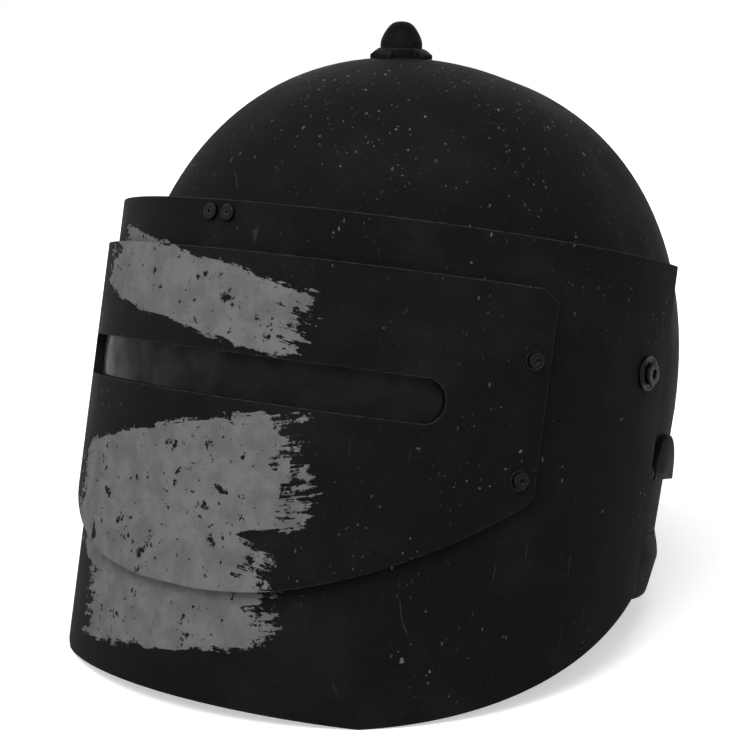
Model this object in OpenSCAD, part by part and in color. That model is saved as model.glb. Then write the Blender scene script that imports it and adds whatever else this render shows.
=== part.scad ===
// Full-face steel ballistic helmet with a lifting visor.
// Lengths are in millimetres. Every piece is drawn in the head frame: the visor stands upright, its
// round wall has its axis at x = 0, y = 0, the pivots are at z = 0, and the face looks along -Y.
// The whole helmet is then pitched back on to its three resting points and stood on z = 0.

/* [Shell] */
// Half width of the shell, outside
shell_r = 123.4; // [118:0.2:130]
// Centre of the front half round behind the visor axis
shell_front = 3; // [1:0.5:6]
// Straight length between the front and the rear half round
shell_straight = 18; // [10:1:30]
// How much more the crown rises above the widest ring than the half width
crown_more = 20.6; // [16:0.2:21.6]
// Depth of the widest ring below the pivots
shell_wide_drop = 14; // [8:1:20]
// Fullness of the dome, where 2 is an ellipse
shell_full = 2.2; // [2:0.05:2.3]
// Steel thickness of the shell
shell_t = 2; // [1.5:0.1:3]
// Depth of the lower rim below the pivots
rim_drop = 98; // [92:1:104]
// How much narrower the rim is than the widest ring
rim_taper = 3; // [0:0.5:5]

/* [Face opening] */
// Height of the brow edge above the pivots
brow_z = 22; // [14:1:30]
// Distance of the cheek edge in front of the visor axis
cheek_y = 38; // [30:1:46]
// Corner radius between the brow and the cheek edge
brow_r = 42; // [25:1:55]
// Width of the rubber trim on the edge
trim_w = 6; // [4:0.5:9]
// Thickness of the rubber trim on each side of the steel
trim_t = 1.2; // [0.8:0.1:1.5]

/* [Nape roll] */
// Height of the roll round the rear rim
roll_h = 27; // [20:1:32]
// How far the roll stands out of the shell
roll_out = 3; // [2:0.2:6]
// Angle of the roll each side of the rear centre line
roll_half = 85; // [80:1:86]

/* [Visor] */
// How far the outside of the visor wall stands out of the half width of the shell
visor_out = 6.6; // [5.8:0.2:9]
// Steel thickness of the visor
visor_t = 2.2; // [1.6:0.1:2.6]
// Height of the visor top edge above the pivots
visor_top = 48; // [42:1:52]
// Depth of the chin edge below the pivots
visor_drop = 154; // [146:0.5:160]
// Half angle of the flat chin edge
chin_half = 38.5; // [32:0.5:42]
// Slope of the rising lower edge next to the chin
chin_slope = 16.1; // [13:0.1:18]
// Steepening of the lower edge toward the rear, in thousandths of a millimetre for each square millimetre
chin_curve = 1.25; // [0.8:0.05:1.5]
// Half angle of the visor wall round the face
visor_half = 102.6; // [100:0.2:105]

/* [Face plate] */
// Thickness of the face plate
plate_t = 4; // [3:0.2:5]
// Bedding gap between visor and face plate
plate_gap = 0.3; // [0.2:0.05:0.6]
// Half angle of the face plate
plate_half = 64.2; // [62.4:0.2:68]
// Height of the plate top edge
plate_top = 28; // [24:1:34]
// Depth of the plate side corner
plate_side_drop = 56; // [54:1:60]
// Depth of the plate lower edge
plate_drop = 108.9; // [104:0.1:114]
// Half angle of the flat middle of the lower edge
plate_low_half = 14; // [10:1:18]

/* [Vision slit] */
// Half angle of the slit
slit_half = 45.9; // [40:0.1:48]
// Height of the slit
slit_h = 17.8; // [14:0.2:20]
// Depth of the slit centre below the pivots
slit_drop = 22.1; // [20:0.1:24]
// Overlap of the glass behind the slit edge
glass_lap = 7; // [5:0.5:8]
// Width of the rubber gasket round the glass
gasket_w = 2.5; // [2:0.5:3]
// Depth of the glass behind the visor inner face
glass_in = 1.2; // [0.8:0.1:1.4]
// Width of the frame that laps the glass from inside
frame_w = 7; // [6:0.5:9]

/* [Face plate screws] */
// Half angle of the plate screws
plate_screw_half = 60.6; // [58:0.1:60.8]
// Height of the upper pair
plate_screw_top = -1; // [-6:1:4]
// Height of the lower pair
plate_screw_low = -49; // [-50:1:-44]
// Thread diameter of the plate screws
screw_d = 4; // [3:0.5:5]
// Washer diameter under the plate screws
screw_washer_d = 8.4; // [8:0.2:10]

/* [Band screws] */
// Distance between the two band screws
band_screw_pitch = 9; // [8:0.5:12]
// Distance of the band screws below the visor top edge
band_screw_down = 5.4; // [4.5:0.1:7]
// Thread diameter of the band screws
band_screw_d = 3; // [2.5:0.5:3.5]

/* [Pivots] */
// Pivot axis behind the visor axis
pivot_y = 5.5; // [4:0.5:8]
// Diameter of the bush that the visor turns on
bush_d = 12; // [11:0.5:13]
// Diameter of the bush shoulder between shell and visor
bush_shoulder_d = 18; // [15:0.5:20]
// Running clearance of the visor on the bush, on the radius
bush_gap = 0.06; // [0.04:0.01:0.1]
// Diameter of the pivot washer
pivot_washer_d = 15; // [14:0.2:18]
// Thickness of the pivot washer
pivot_washer_t = 1.4; // [1:0.1:2]
// Thread diameter of the pivot screw
pivot_screw_d = 6; // [5:0.5:6]

/* [Crown catch] */
// Distance of the crown knob in front of the visor axis
knob_front = 21; // [16:1:24]
// Widest diameter of the knob
knob_d = 19; // [16:0.5:21]
// Height of the knob top above the shell
knob_h = 16.2; // [14.4:0.1:18]
// Stem diameter of the knob
stem_d = 8; // [6:0.5:8.5]
// Travel of the knob
knob_travel = 2.5; // [1.5:0.1:2.8]
// Span of the four-legged base plate
base_span = 29; // [27:0.5:32]
// Width of one leg of the base plate
base_leg_w = 8; // [7:0.5:10]

/* [Hearing hoods] */
// Width of the hood
hood_w = 34; // [30:1:38]
// Height of the hood
hood_h = 20; // [16:1:24]
// How far the hood stands out of the shell
hood_out = 3.4; // [3:0.2:4.4]
// Centre of the hood behind the pivot
hood_back = 46.5; // [45:0.5:54]
// Depth of the hood foot below the pivots
hood_drop = 46; // [44:1:50]

/* [Liner] */
// Thickness of the head pads
pad_t = 18; // [12:1:24]
// Height of the side and nape pads
pad_h = 52; // [40:1:60]
// Thickness of the crown pad
crown_pad_t = 16; // [10:1:20]
// Radius of the crown pad
crown_pad_r = 60; // [45:1:66]
// Width of the webbing
strap_w = 20; // [16:1:25]
// Thickness of the webbing
strap_t = 2; // [1.5:0.1:2.5]
// Thickness of the head band
band_t = 1.8; // [1.2:0.1:2.4]
// Height of the head band
band_h = 30; // [24:1:32]
// Wall of the chin cup
cup_t = 3; // [2:0.2:4]

/* [Hidden] */
$fn = 96;
seat_gap = 0.3;
slot_flat = 0.4;
cut = 400;
steel = [0.055, 0.057, 0.06];
steel_worn = [0.09, 0.092, 0.095];
black_zinc = [0.1, 0.1, 0.105];
rubber_black = [0.03, 0.03, 0.03];
webbing_olive = [0.17, 0.17, 0.12];
pad_grey = [0.12, 0.12, 0.125];
glass_dark = [0.12, 0.14, 0.14, 0.55];

shell_rise = shell_r + crown_more;
visor_r = shell_r + visor_out;
shell_rear = shell_front + shell_straight;
visor_in = visor_r - visor_t;
plate_in = visor_r + plate_gap;
plate_out = plate_in + plate_t;
glass_face = visor_in - glass_in;

// Outline of the dome, from the widest ring to the crown, moved out by d
function dome_r(t, d) = (shell_r + d) * pow(cos(t), 2 / shell_full);
function dome_z(t, d) = (shell_rise + d) * pow(sin(t), 2 / shell_full) - shell_wide_drop;
function dome_angle(z, d) = asin(pow((z + shell_wide_drop) / (shell_rise + d), shell_full / 2));
function dome_h(r, d) =
    (shell_rise + d) * pow(1 - pow(r / (shell_r + d), shell_full), 1 / shell_full) - shell_wide_drop;
function wall_r(z, d) =
    z > -shell_wide_drop
    ? dome_r(dome_angle(z, d), d)
    : shell_r + d + rim_taper * (z + shell_wide_drop) / (rim_drop - shell_wide_drop);
function dome_line(z_low, z_high, d, steps) =
    let (a0 = dome_angle(max(z_low, -shell_wide_drop), d), a1 = dome_angle(z_high, d))
    concat(z_low < -shell_wide_drop ? [[wall_r(z_low, d), z_low]] : [],
        [for (i = [0:steps]) let (t = a0 + (a1 - a0) * i / steps) [dome_r(t, d), dome_z(t, d)]]);
function crown_line(z_low, d, steps) = dome_line(z_low, shell_rise + d - shell_wide_drop, d, steps);
function reversed(list) = [for (i = [len(list) - 1:-1:0]) list[i]];
function arc_points(y, z, r, a0, a1, steps) =
    [for (i = [0:steps]) let (t = a0 + (a1 - a0) * i / steps) [y + r * cos(t), z + r * sin(t)]];

// Resting attitude: the two ends of the flat chin edge and the foot of the nape roll share a plane
chin_y = -visor_r * cos(chin_half);
roll_foot_r = wall_r(-rim_drop, 0) - 0.5;
roll_foot_z = -rim_drop - 3;
foot_y = shell_rear + roll_foot_r;
pitch = atan2(roll_foot_z + visor_drop, foot_y - chin_y);
ground = -chin_y * sin(pitch) - visor_drop * cos(pitch);
front_y = -visor_r * cos(pitch) - visor_drop * sin(pitch);
rear_y = max([for (q = crown_line(-rim_drop, 0, 36)) (shell_rear + q[0]) * cos(pitch) + q[1] * sin(pitch)]);

// Crown knob: the floor and the top of its plate's bore, its foot on the dome and the lean of the dome there
plate_floor = 0.4;
collar_top = plate_floor + knob_travel + 1.1;
knob_r = knob_front + shell_front;
knob_angle = acos(pow(knob_r / shell_r, shell_full / 2));
knob_z = dome_z(knob_angle, 0);
knob_lean = atan2(pow(knob_r, shell_full - 1) / pow(shell_r, shell_full),
    pow(knob_z + shell_wide_drop, shell_full - 1) / pow(shell_rise, shell_full));

// Pivot stack, measured along X
glass_h = slit_h + 2 * glass_lap;
glass_angle = glass_lap / visor_r * 180 / PI;
window_h = glass_h + 2 * gasket_w;
window_angle = (glass_lap + gasket_w) / visor_r * 180 / PI;
catch_t = 1.2;
band_nut_h = 2;
plate_nut_h = 2.4;
plate_grip = plate_out - visor_in + plate_nut_h + 0.6;
bush_base = shell_r + 0.05;
bush_face = sqrt(pow(visor_in, 2) - pow(pivot_y + bush_shoulder_d / 2, 2)) - seat_gap;
washer_base = visor_r + 0.1;
head_h = 2.4;
nut_face = wall_r(5.8, -shell_t) - 0.1;

hood_y = pivot_y + hood_back;

// Liner and chin strap places
band_low = -6;
anchor_y = 16;
anchor_z = -62;
cup_r = 34;
cup_y = 83.4 - shell_r;
cup_z = -104;

// The left strap from its anchor to the chin cup: x, y, z and the turn of the webbing
strap_turn = -36.6;
strap_points = [
    [wall_r(anchor_z, 0) - shell_t - 2.4 - strap_t / 2, anchor_y - 12, anchor_z, -8],
    [shell_r - 12.9, cup_y + cup_r, anchor_z - 6, strap_turn],
    [shell_r - 37.4, cup_y + 1, cup_z + 17, strap_turn],
    [cup_r - 4.9, cup_y - cup_r + 9.6, cup_z + 2, strap_turn - 5.4],
    [cup_r * 0.28, cup_y - cup_r - 1.7, cup_z, -75]];

// Places the head frame in the resting attitude, centred on the origin and stood on z = 0
module stand() {
    translate([0, -(front_y + rear_y) / 2, -ground])
        rotate([-pitch, 0, 0])
            children();
}

// A wall of revolution round the visor axis, symmetric about the face
module ring_wall(r0, r1, half, z0, z1) {
    rotate([0, 0, -90 - half])
        rotate_extrude(angle = 2 * half)
            translate([r0, z0])
                square([r1 - r0, z1 - z0]);
}

// A side view outline in y and z, carried right through along X
module side_view(points) {
    rotate([90, 0, 90])
        linear_extrude(cut, center = true)
            polygon(points);
}

// Children stand on the wall at an angle from the face, with +Z outward
module on_wall(angle, r, z) {
    rotate([0, 0, angle])
        translate([0, -r, z])
            rotate([90, 0, 0])
                children();
}

// Children stand on both pivots, with +Z outward and their zero on the middle plane
module on_pivots() {
    for (side = [0, 1])
        mirror([side, 0, 0])
            translate([0, pivot_y, 0])
                rotate([0, 90, 0])
                    children();
}

module on_knob() {
    translate([0, -knob_front, knob_z])
        rotate([knob_lean, 0, 0])
            children();
}

// A curved slot with round ends, between two radii. Its ends are a touch wider than the slot and cut
// flat with it, so that no round face only grazes a flat one
module wall_slot(r0, r1, half, z, h) {
    end = half - asin(h / 2 / visor_r);
    intersection() {
        ring_wall(r0, r1, half + 2, z - h / 2, z + h / 2);
        union() {
            ring_wall(r0 - 1, r1 + 1, end, z - h / 2 - 3, z + h / 2 + 3);
            for (side = [-1, 1])
                on_wall(side * end, r0 - 3, z)
                    cylinder(h = r1 - r0 + 8, d = h + slot_flat);
        }
    }
}

// A wall that follows the stadium plan of the shell, from a section in r and z
module stadium_wall(section) {
    translate([0, shell_front, 0])
        rotate([0, 0, 180])
            rotate_extrude(angle = 180)
                polygon(section);
    stadium_rear(section);
}

module stadium_rear(section) {
    for (side = [0, 1])
        mirror([side, 0, 0])
            translate([0, shell_rear, 0])
                rotate([90, 0, 0])
                    linear_extrude(shell_straight)
                        polygon(section);
    translate([0, shell_rear, 0])
        rotate_extrude(angle = 180)
            polygon(section);
}

function wall_section(z_low, d_out, d_in) =
    concat(crown_line(z_low, d_out, 36), reversed(crown_line(z_low, d_in, 36)));

// The region of the side view that the face opening takes away, grown by d
function face_outline(d) =
    let (y = d - cheek_y, z = brow_z + d, r = brow_r + d)
    concat([[-cut, -cut], [y, -cut]], arc_points(y - r, z - r, r, 0, 90, 12), [[-cut, z]]);

module shell() {
    color(steel)
        stand()
            difference() {
                stadium_wall(wall_section(-rim_drop, 0, -shell_t));
                side_view(face_outline(0));
                on_pivots()
                    cylinder(h = cut, d = pivot_screw_d + 4.4);
                on_knob()
                    translate([0, 0, -20])
                        cylinder(h = 40, d = stem_d + 0.4);
                base_rivet_places()
                    translate([0, 0, -12])
                        cylinder(h = 20, d = 2.6);
                for (side = [-1, 1])
                    hearing_holes(side);
                hood_rivet_places()
                    translate([0, 0, -12])
                        cylinder(h = 20, d = 2.6);
                anchor_places()
                    translate([0, 0, -12])
                        cylinder(h = 20, d = 4.2);
            }
}

module face_opening_trim() {
    color(rubber_black)
        stand()
            difference() {
                intersection() {
                    stadium_wall(wall_section(-rim_drop + roll_h + 1, trim_t, -shell_t - trim_t));
                    difference() {
                        side_view(face_outline(trim_w));
                        side_view(face_outline(-trim_t));
                    }
                }
                difference() {
                    stadium_wall(wall_section(-rim_drop - 5, 0.05, -shell_t - 0.05));
                    side_view(face_outline(-0.05));
                }
            }
}

// Section of the roll: it laps the rim on both sides and stands out of the shell
function roll_section() =
    let (r = wall_r(-rim_drop, 0), top = roll_h - rim_drop)
    [[wall_r(top, 0) + 0.1, top], [wall_r(top - 10, 0) + roll_out * 0.86, top - 8],
        [wall_r(top - 11, 0) + roll_out, top - 11], [wall_r(top - 12.5, 0) + roll_out * 0.9, top - 13.5],
        [roll_foot_r + 0.9, roll_foot_z + 1.2], [roll_foot_r, roll_foot_z], [r - 6, roll_foot_z],
        [r - shell_t - 3.2, roll_foot_z + 2], [r - shell_t - 3, -rim_drop + 9],
        [wall_r(10 - rim_drop, 0) - shell_t - 0.1, -rim_drop + 10],
        [r - shell_t - 0.1, -rim_drop - 0.1], [r + 0.1, -rim_drop - 0.1]];

module nape_roll() {
    color(rubber_black)
        stand()
            translate([0, shell_rear, 0])
                rotate([0, 0, 90 - roll_half])
                    rotate_extrude(angle = 2 * roll_half)
                        polygon(roll_section());
}

module base_rivet_places() {
    on_knob()
        for (a = [0:90:270])
            rotate([0, 0, a])
                translate([base_span / 2 - 2.4, 0, 0])
                    children();
}

// A flared plate with four sloping legs, and a collar in which the knob slides
module crown_plate() {
    bore_r = knob_d / 2 + seat_gap;
    collar_r = bore_r + 1.1;
    color(steel_worn)
        stand()
            difference() {
                on_knob()
                    difference() {
                        union() {
                            for (a = [0:90:270])
                                rotate([90, 0, a])
                                    translate([0, 0, -base_leg_w / 2])
                                        linear_extrude(base_leg_w)
                                            polygon([[0, -2], [base_span / 2, -2], [base_span / 2, 1.3],
                                                [collar_r, collar_top - 0.4], [0, collar_top - 0.4]]);
                            translate([0, 0, -2])
                                cylinder(h = 2 + collar_top - 0.5, r = collar_r);
                            translate([0, 0, collar_top - 0.5])
                                cylinder(h = 0.5, r1 = collar_r, r2 = collar_r - 0.4);
                        }
                        translate([0, 0, plate_floor])
                            cylinder(h = 20, r = bore_r);
                        translate([0, 0, -5])
                            cylinder(h = 20, d = stem_d + 0.2);
                    }
                stadium_wall(concat([[0, 60]], crown_line(60, 0.05, 24)));
                base_rivet_places()
                    translate([0, 0, -12])
                        cylinder(h = 13.1, d = 2.6);
            }
}

// Peened from inside into the legs, so that no head shows on the crown
module crown_plate_rivets() {
    color(black_zinc)
        stand()
            base_rivet_places() {
                translate([0, 0, -3.9])
                    cylinder(h = 4.9, d = 2.4);
                translate([0, 0, -4.4])
                    cylinder(h = 0.9, r = 2);
            }
}

module crown_knob() {
    r = knob_d / 2;
    skirt = plate_floor + 0.4 + knob_travel;
    stem_end = -5.4;
    color(steel_worn)
        stand()
            on_knob()
                rotate_extrude()
                    polygon([[0, knob_h], [r * 0.28, knob_h - 0.3], [r * 0.57, knob_h - 1.9],
                        [r * 0.74, knob_h - 3.9], [r * 0.88, knob_h - 6], [r * 0.97, knob_h - 8],
                        [r, knob_h - 9.8], [r, skirt + 0.5], [r - 0.5, skirt], [r - 2.6, skirt],
                        [r - 2.6, knob_h - 7], [stem_d / 2, knob_h - 5.4], [stem_d / 2, stem_end + 3],
                        [stem_d / 2 - 1, stem_end + 3], [stem_d / 2 - 1, stem_end + 1.8],
                        [stem_d / 2, stem_end + 1.8], [stem_d / 2, stem_end + 0.5],
                        [stem_d / 2 - 0.5, stem_end], [0, stem_end]]);
}

module crown_knob_spring() {
    wire = 0.8;
    low = plate_floor + wire / 2 + 0.1;
    high = knob_h - 7.4;
    color(black_zinc)
        stand()
            on_knob()
                for (i = [0:4])
                    translate([0, 0, low + (high - low) * i / 4])
                        rotate_extrude()
                            translate([stem_d / 2 + 1.1, 0])
                                circle(d = wire, $fn = 16);
}

module crown_knob_clip() {
    color(black_zinc)
        stand()
            on_knob()
                translate([0, 0, -shell_t - 1.5])
                    difference() {
                        cylinder(h = 1, d = stem_d + 5);
                        translate([0, 0, -1])
                            cylinder(h = 3, d = stem_d - 1.8);
                        translate([-1.2, 0, -1])
                            cube([2.4, stem_d, 3]);
                    }
}

module pivot_bushes() {
    color(steel_worn)
        stand()
            on_pivots()
                difference() {
                    union() {
                        translate([0, 0, bush_base])
                            cylinder(h = bush_face - bush_base, d = bush_shoulder_d);
                        translate([0, 0, bush_base])
                            cylinder(h = washer_base - bush_base, d = bush_d);
                        translate([0, 0, nut_face])
                            cylinder(h = bush_base - nut_face + 0.5, d = pivot_screw_d + 4);
                    }
                    translate([0, 0, nut_face - 1])
                        cylinder(h = 20, d = pivot_screw_d + 0.1);
                }
}

module pivot_washers() {
    color(black_zinc)
        stand()
            on_pivots()
                translate([0, 0, washer_base])
                    difference() {
                        cylinder(h = pivot_washer_t, d = pivot_washer_d);
                        translate([0, 0, -1])
                            cylinder(h = 5, d = pivot_screw_d + 0.4);
                        translate([0, 0, pivot_washer_t - 0.4])
                            difference() {
                                cylinder(h = 1, d = pivot_washer_d - 2);
                                cylinder(h = 1, d = pivot_screw_d + 4.4);
                            }
                    }
}

module pivot_screws() {
    base = washer_base + pivot_washer_t;
    color(black_zinc)
        stand()
            on_pivots()
                difference() {
                    union() {
                        translate([0, 0, base])
                            cylinder(h = head_h - 0.5, d = pivot_screw_d + 3.6);
                        translate([0, 0, base + head_h - 0.5])
                            cylinder(h = 0.5, d1 = pivot_screw_d + 3.6, d2 = pivot_screw_d + 2.8);
                        translate([0, 0, nut_face - 5])
                            cylinder(h = base - nut_face + 5.5, d = pivot_screw_d);
                    }
                    translate([0, 0, base + head_h - 1.9])
                        cylinder(h = 5, d = pivot_screw_d - 1, $fn = 6);
                }
}

module pivot_nuts() {
    color(black_zinc)
        stand()
            on_pivots()
                translate([0, 0, nut_face - 4.2])
                    difference() {
                        union() {
                            cylinder(h = 4.1, d = pivot_screw_d + 5.5, $fn = 6);
                            translate([0, 0, 3.1])
                                cylinder(h = 1, d = pivot_screw_d + 8);
                        }
                        translate([0, 0, -1])
                            cylinder(h = 8, d = pivot_screw_d + 0.1);
                    }
}

// Children stand on the shell wall behind the pivot, with +Z outward and +Y up
module on_shell_side(side, y, z) {
    turn = y > shell_rear ? asin(min(1, (y - shell_rear) / (shell_r + 4))) : 0;
    mirror([side < 0 ? 1 : 0, 0, 0])
        translate([0, min(y, shell_rear), 0])
            rotate([0, 0, 90 + turn])
                translate([0, -wall_r(z, 0), z])
                    rotate([90, 0, 0])
                        children();
}

module hearing_holes(side) {
    for (x = [-1, 0, 1])
        on_shell_side(side, hood_y, -hood_drop + 6)
            translate([x * 9, 0, -14])
                cylinder(h = 20, d = 5);
}

module hood_outline(inset) {
    w = hood_w / 2 - inset;
    h = hood_h - inset;
    polygon(concat([[-w, 0], [w, 0]], [for (i = [0:18]) let (t = i * 10) [w * cos(t), h * pow(sin(t), 0.8)]]));
}

module hearing_hood(side) {
    foot = 4;
    low = -hood_drop - hood_h;
    high = hood_h - shell_wide_drop;
    color(steel_worn)
        stand()
            difference() {
                on_shell_side(side, hood_y, -hood_drop)
                    translate([0, 0, -6])
                        difference() {
                            union() {
                                linear_extrude(6 + hood_out)
                                    hood_outline(0);
                                translate([-hood_w / 2 - foot, 0, 0])
                                    cube([hood_w + 2 * foot, 5, 7.4]);
                            }
                            translate([0, -1, 0])
                                linear_extrude(6 + hood_out - 1.4)
                                    hood_outline(1.4);
                        }
                stadium_wall(concat([[0, low], [0, high]], reversed(dome_line(low, high, 0.05, 24))));
                hood_rivet_places()
                    translate([0, 0, -12])
                        cylinder(h = 30, d = 2.6);
            }
}

module hood_rivet_places() {
    for (side = [-1, 1])
        for (end = [-1, 1])
            on_shell_side(side, hood_y, -hood_drop + 2.5)
                translate([end * (hood_w / 2 + 2), 0, 0])
                    children();
}

module hearing_hood_rivets() {
    color(black_zinc)
        stand()
            hood_rivet_places() {
                translate([0, 0, 1.45])
                    cylinder(h = 0.9, r1 = 1.9, r2 = 1.2);
                translate([0, 0, -7])
                    cylinder(h = 9, d = 2.4);
            }
}

// Section of a pad that follows the shell and swells toward the head
function pad_section(z_low, z_high) =
    let (mid = (z_low + z_high) / 2, half = (z_high - z_low) / 2)
    concat([for (i = [0:8]) let (z = z_low + (z_high - z_low) * i / 8)
            [wall_r(z, -shell_t) - seat_gap, z]],
        [for (i = [0:12]) let (a = i * 15, z = mid + half * cos(a))
            [wall_r(z, -shell_t) - seat_gap - pad_t * (0.55 + 0.45 * pow(sin(a), 0.6)), z]]);

module side_pad() {
    translate([0, shell_rear, 0])
        rotate_extrude(angle = 38)
            polygon(pad_section(-12, pad_h - 12));
    translate([0, shell_rear, 0])
        rotate([90, 0, 0])
            linear_extrude(shell_straight * 0.1)
                polygon(pad_section(-12, pad_h - 12));
}

module left_side_pad() {
    color(pad_grey)
        stand()
            side_pad();
}

module right_side_pad() {
    color(pad_grey)
        stand()
            mirror([1, 0, 0])
                side_pad();
}

module nape_pad() {
    color(pad_grey)
        stand()
            translate([0, shell_rear, 0])
                rotate([0, 0, 52])
                    rotate_extrude(angle = 76)
                        polygon(pad_section(-pad_h, 0));
}

module brow_pad() {
    low = brow_z + 6;
    color(pad_grey)
        stand()
            translate([0, shell_front, 0])
                rotate([0, 0, -90 - 40])
                    rotate_extrude(angle = 80)
                        polygon(pad_section(low, low + 30));
}

module crown_pad() {
    r = crown_pad_r;
    rings = [for (i = [0:12]) r * i / 12];
    under = [for (x = rings) [x, dome_h(x, -shell_t) - seat_gap - crown_pad_t * (1 - 0.75 * pow(x / r, 5))]];
    color(pad_grey)
        stand()
            difference() {
                translate([0, (shell_front + shell_rear) / 2, 0])
                    rotate_extrude()
                        polygon(concat([for (x = rings) [x, dome_h(x, -shell_t) - seat_gap]], reversed(under)));
                on_knob()
                    translate([0, 0, -40])
                        cylinder(h = 80, d = base_span + 1);
            }
}

module head_band() {
    r = wall_r(band_low + band_h, -shell_t) - seat_gap - pad_t - 0.4 - band_t;
    color(webbing_olive)
        stand()
            difference() {
                plan_block(r + band_t, band_low, band_h);
                plan_block(r, band_low - 1, band_h + 2);
            }
}

// A block on the plan of the head band
module plan_block(r, low, h) {
    front = shell_front + 8;
    translate([0, 0, low])
        linear_extrude(h)
            union() {
                translate([0, front])
                    circle(r);
                translate([0, shell_rear])
                    circle(r);
                translate([-r, front])
                    square([2 * r, shell_rear - front]);
            }
}

module anchor_places() {
    for (side = [-1, 1])
        on_shell_side(side, anchor_y, anchor_z)
            children();
}

module strap_anchor(side) {
    color(black_zinc)
        stand()
            on_shell_side(side, anchor_y, anchor_z)
                translate([0, 0, -shell_t - 2.2])
                    difference() {
                        union() {
                            cylinder(h = 1.6, d = 16);
                            translate([-16, -strap_w / 2 - 3, 0])
                                cube([12, strap_w + 6, 1.6]);
                        }
                        translate([0, 0, -1])
                            cylinder(h = 4, d = 4.2);
                        translate([-13.5, -strap_w / 2 - 0.5, -1])
                            cube([4.4, strap_w + 1, 4]);
                    }
}

module left_strap_anchor() {
    strap_anchor(1);
}

module right_strap_anchor() {
    strap_anchor(-1);
}

module strap_rivets() {
    color(black_zinc)
        stand()
            anchor_places() {
                translate([0, 0, 0.1])
                    cylinder(h = 1.2, r1 = 4, r2 = 3);
                translate([0, 0, -shell_t - 2.6])
                    cylinder(h = shell_t + 3, d = 4);
                translate([0, 0, -shell_t - 3.2])
                    cylinder(h = 0.9, r = 3.4);
            }
}

module strap_end(p) {
    translate([p[0], p[1], p[2]])
        rotate([0, 0, p[3]])
            cube([strap_t, strap_t, strap_w], center = true);
}

module chin_webbing() {
    for (i = [0:3])
        hull() {
            strap_end(strap_points[i]);
            strap_end(strap_points[i + 1]);
        }
}

module left_chin_strap() {
    color(webbing_olive)
        stand()
            chin_webbing();
}

module right_chin_strap() {
    color(webbing_olive)
        stand()
            mirror([1, 0, 0])
                chin_webbing();
}

module chin_strap_buckle() {
    from = strap_points[1];
    to = strap_points[2];
    run = sqrt(pow(to[0] - from[0], 2) + pow(to[1] - from[1], 2));
    color(black_zinc)
        stand()
            translate([(from[0] + to[0]) / 2, (from[1] + to[1]) / 2, (from[2] + to[2]) / 2])
                rotate([0, 0, from[3]])
                    rotate([atan2(from[2] - to[2], run), 0, 0])
                        difference() {
                            cube([strap_t + 3.4, 15, strap_w + 7], center = true);
                            cube([strap_t + 1, 20, strap_w + 1], center = true);
                        }
}

module chin_cup() {
    section = concat(arc_points(0, 0, cup_r, 270, 360, 18), reversed(arc_points(0, 0, cup_r - cup_t, 270, 360, 18)));
    color(rubber_black)
        stand()
            translate([0, cup_y, cup_z])
                difference() {
                    rotate_extrude()
                        polygon(section);
                    translate([-cup_r - 5, 12, -cup_r - 5])
                        cube([2 * cup_r + 10, cup_r + 5, cup_r + 10]);
                }
}

// The flat chin edge, and the lower edge that rises ever more steeply to the rear
module visor_side() {
    reach = 2 * visor_r;
    side_view(concat([[-cut, visor_top], [-cut, -visor_drop]],
        [for (i = [0:40]) let (d = reach * i / 40)
            [chin_y + d, d * tan(chin_slope) + pow(d, 2) * chin_curve / 1000 - visor_drop]],
        [[chin_y + reach, visor_top]]));
}

module visor() {
    color(steel)
        stand()
            difference() {
                intersection() {
                    ring_wall(visor_in, visor_r, visor_half, -visor_drop, visor_top);
                    visor_side();
                }
                wall_slot(visor_in - 5, visor_r + 5, slit_half + window_angle, -slit_drop, window_h);
                on_pivots()
                    translate([0, 0, visor_in - 20])
                        cylinder(h = 40, d = bush_d + 2 * bush_gap);
                plate_screw_places()
                    translate([0, 0, -12])
                        cylinder(h = 24, d = screw_d + 0.4);
                band_screw_places()
                    translate([0, 0, -12])
                        cylinder(h = 24, d = band_screw_d + 0.4);
                frame_rivet_places()
                    translate([0, 0, -12])
                        cylinder(h = 24, d = 2.2);
            }
}

module plate_side() {
    low_y = -plate_out * cos(plate_low_half);
    side_y = -plate_out * cos(plate_half);
    chamfer = 4.5;
    side_view([[-cut, -plate_drop], [low_y - 3, -plate_drop], [low_y + 3, -plate_drop + 3.2],
        [side_y - 3, -plate_side_drop - 3], [side_y, -plate_side_drop + 1], [side_y, plate_top - chamfer],
        [side_y - chamfer * 1.5, plate_top], [-cut, plate_top]]);
}

module face_plate() {
    color(steel)
        stand()
            difference() {
                intersection() {
                    ring_wall(plate_in, plate_out, plate_half + 2, -plate_drop, plate_top);
                    plate_side();
                }
                wall_slot(plate_in - 5, plate_out + 5, slit_half, -slit_drop, slit_h);
                plate_screw_places()
                    translate([0, 0, -12])
                        cylinder(h = 24, d = screw_d + 0.4);
            }
}

module plate_screw_places() {
    for (side = [-1, 1])
        for (z = [plate_screw_low, plate_screw_top])
            on_wall(side * plate_screw_half, plate_out, z)
                children();
}

module plate_washers() {
    color(black_zinc)
        stand()
            plate_screw_places()
                translate([0, 0, 0.05])
                    difference() {
                        cylinder(h = 0.8, d = screw_washer_d);
                        translate([0, 0, -1])
                            cylinder(h = 3, d = screw_d + 0.3);
                    }
}

module socket_screw(d, head_d, head, grip) {
    difference() {
        union() {
            cylinder(h = head - 0.4, d = head_d);
            translate([0, 0, head - 0.4])
                cylinder(h = 0.4, d1 = head_d, d2 = head_d - 0.8);
            translate([0, 0, -grip])
                cylinder(h = grip + 0.2, d = d);
        }
        translate([0, 0, head - 1.3])
            cylinder(h = 3, d = d * 0.72, $fn = 6);
    }
}

module plate_screws() {
    color(black_zinc)
        stand()
            plate_screw_places()
                translate([0, 0, 0.85])
                    socket_screw(screw_d, screw_washer_d - 1.8, 2, plate_grip + 0.85);
}

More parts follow.
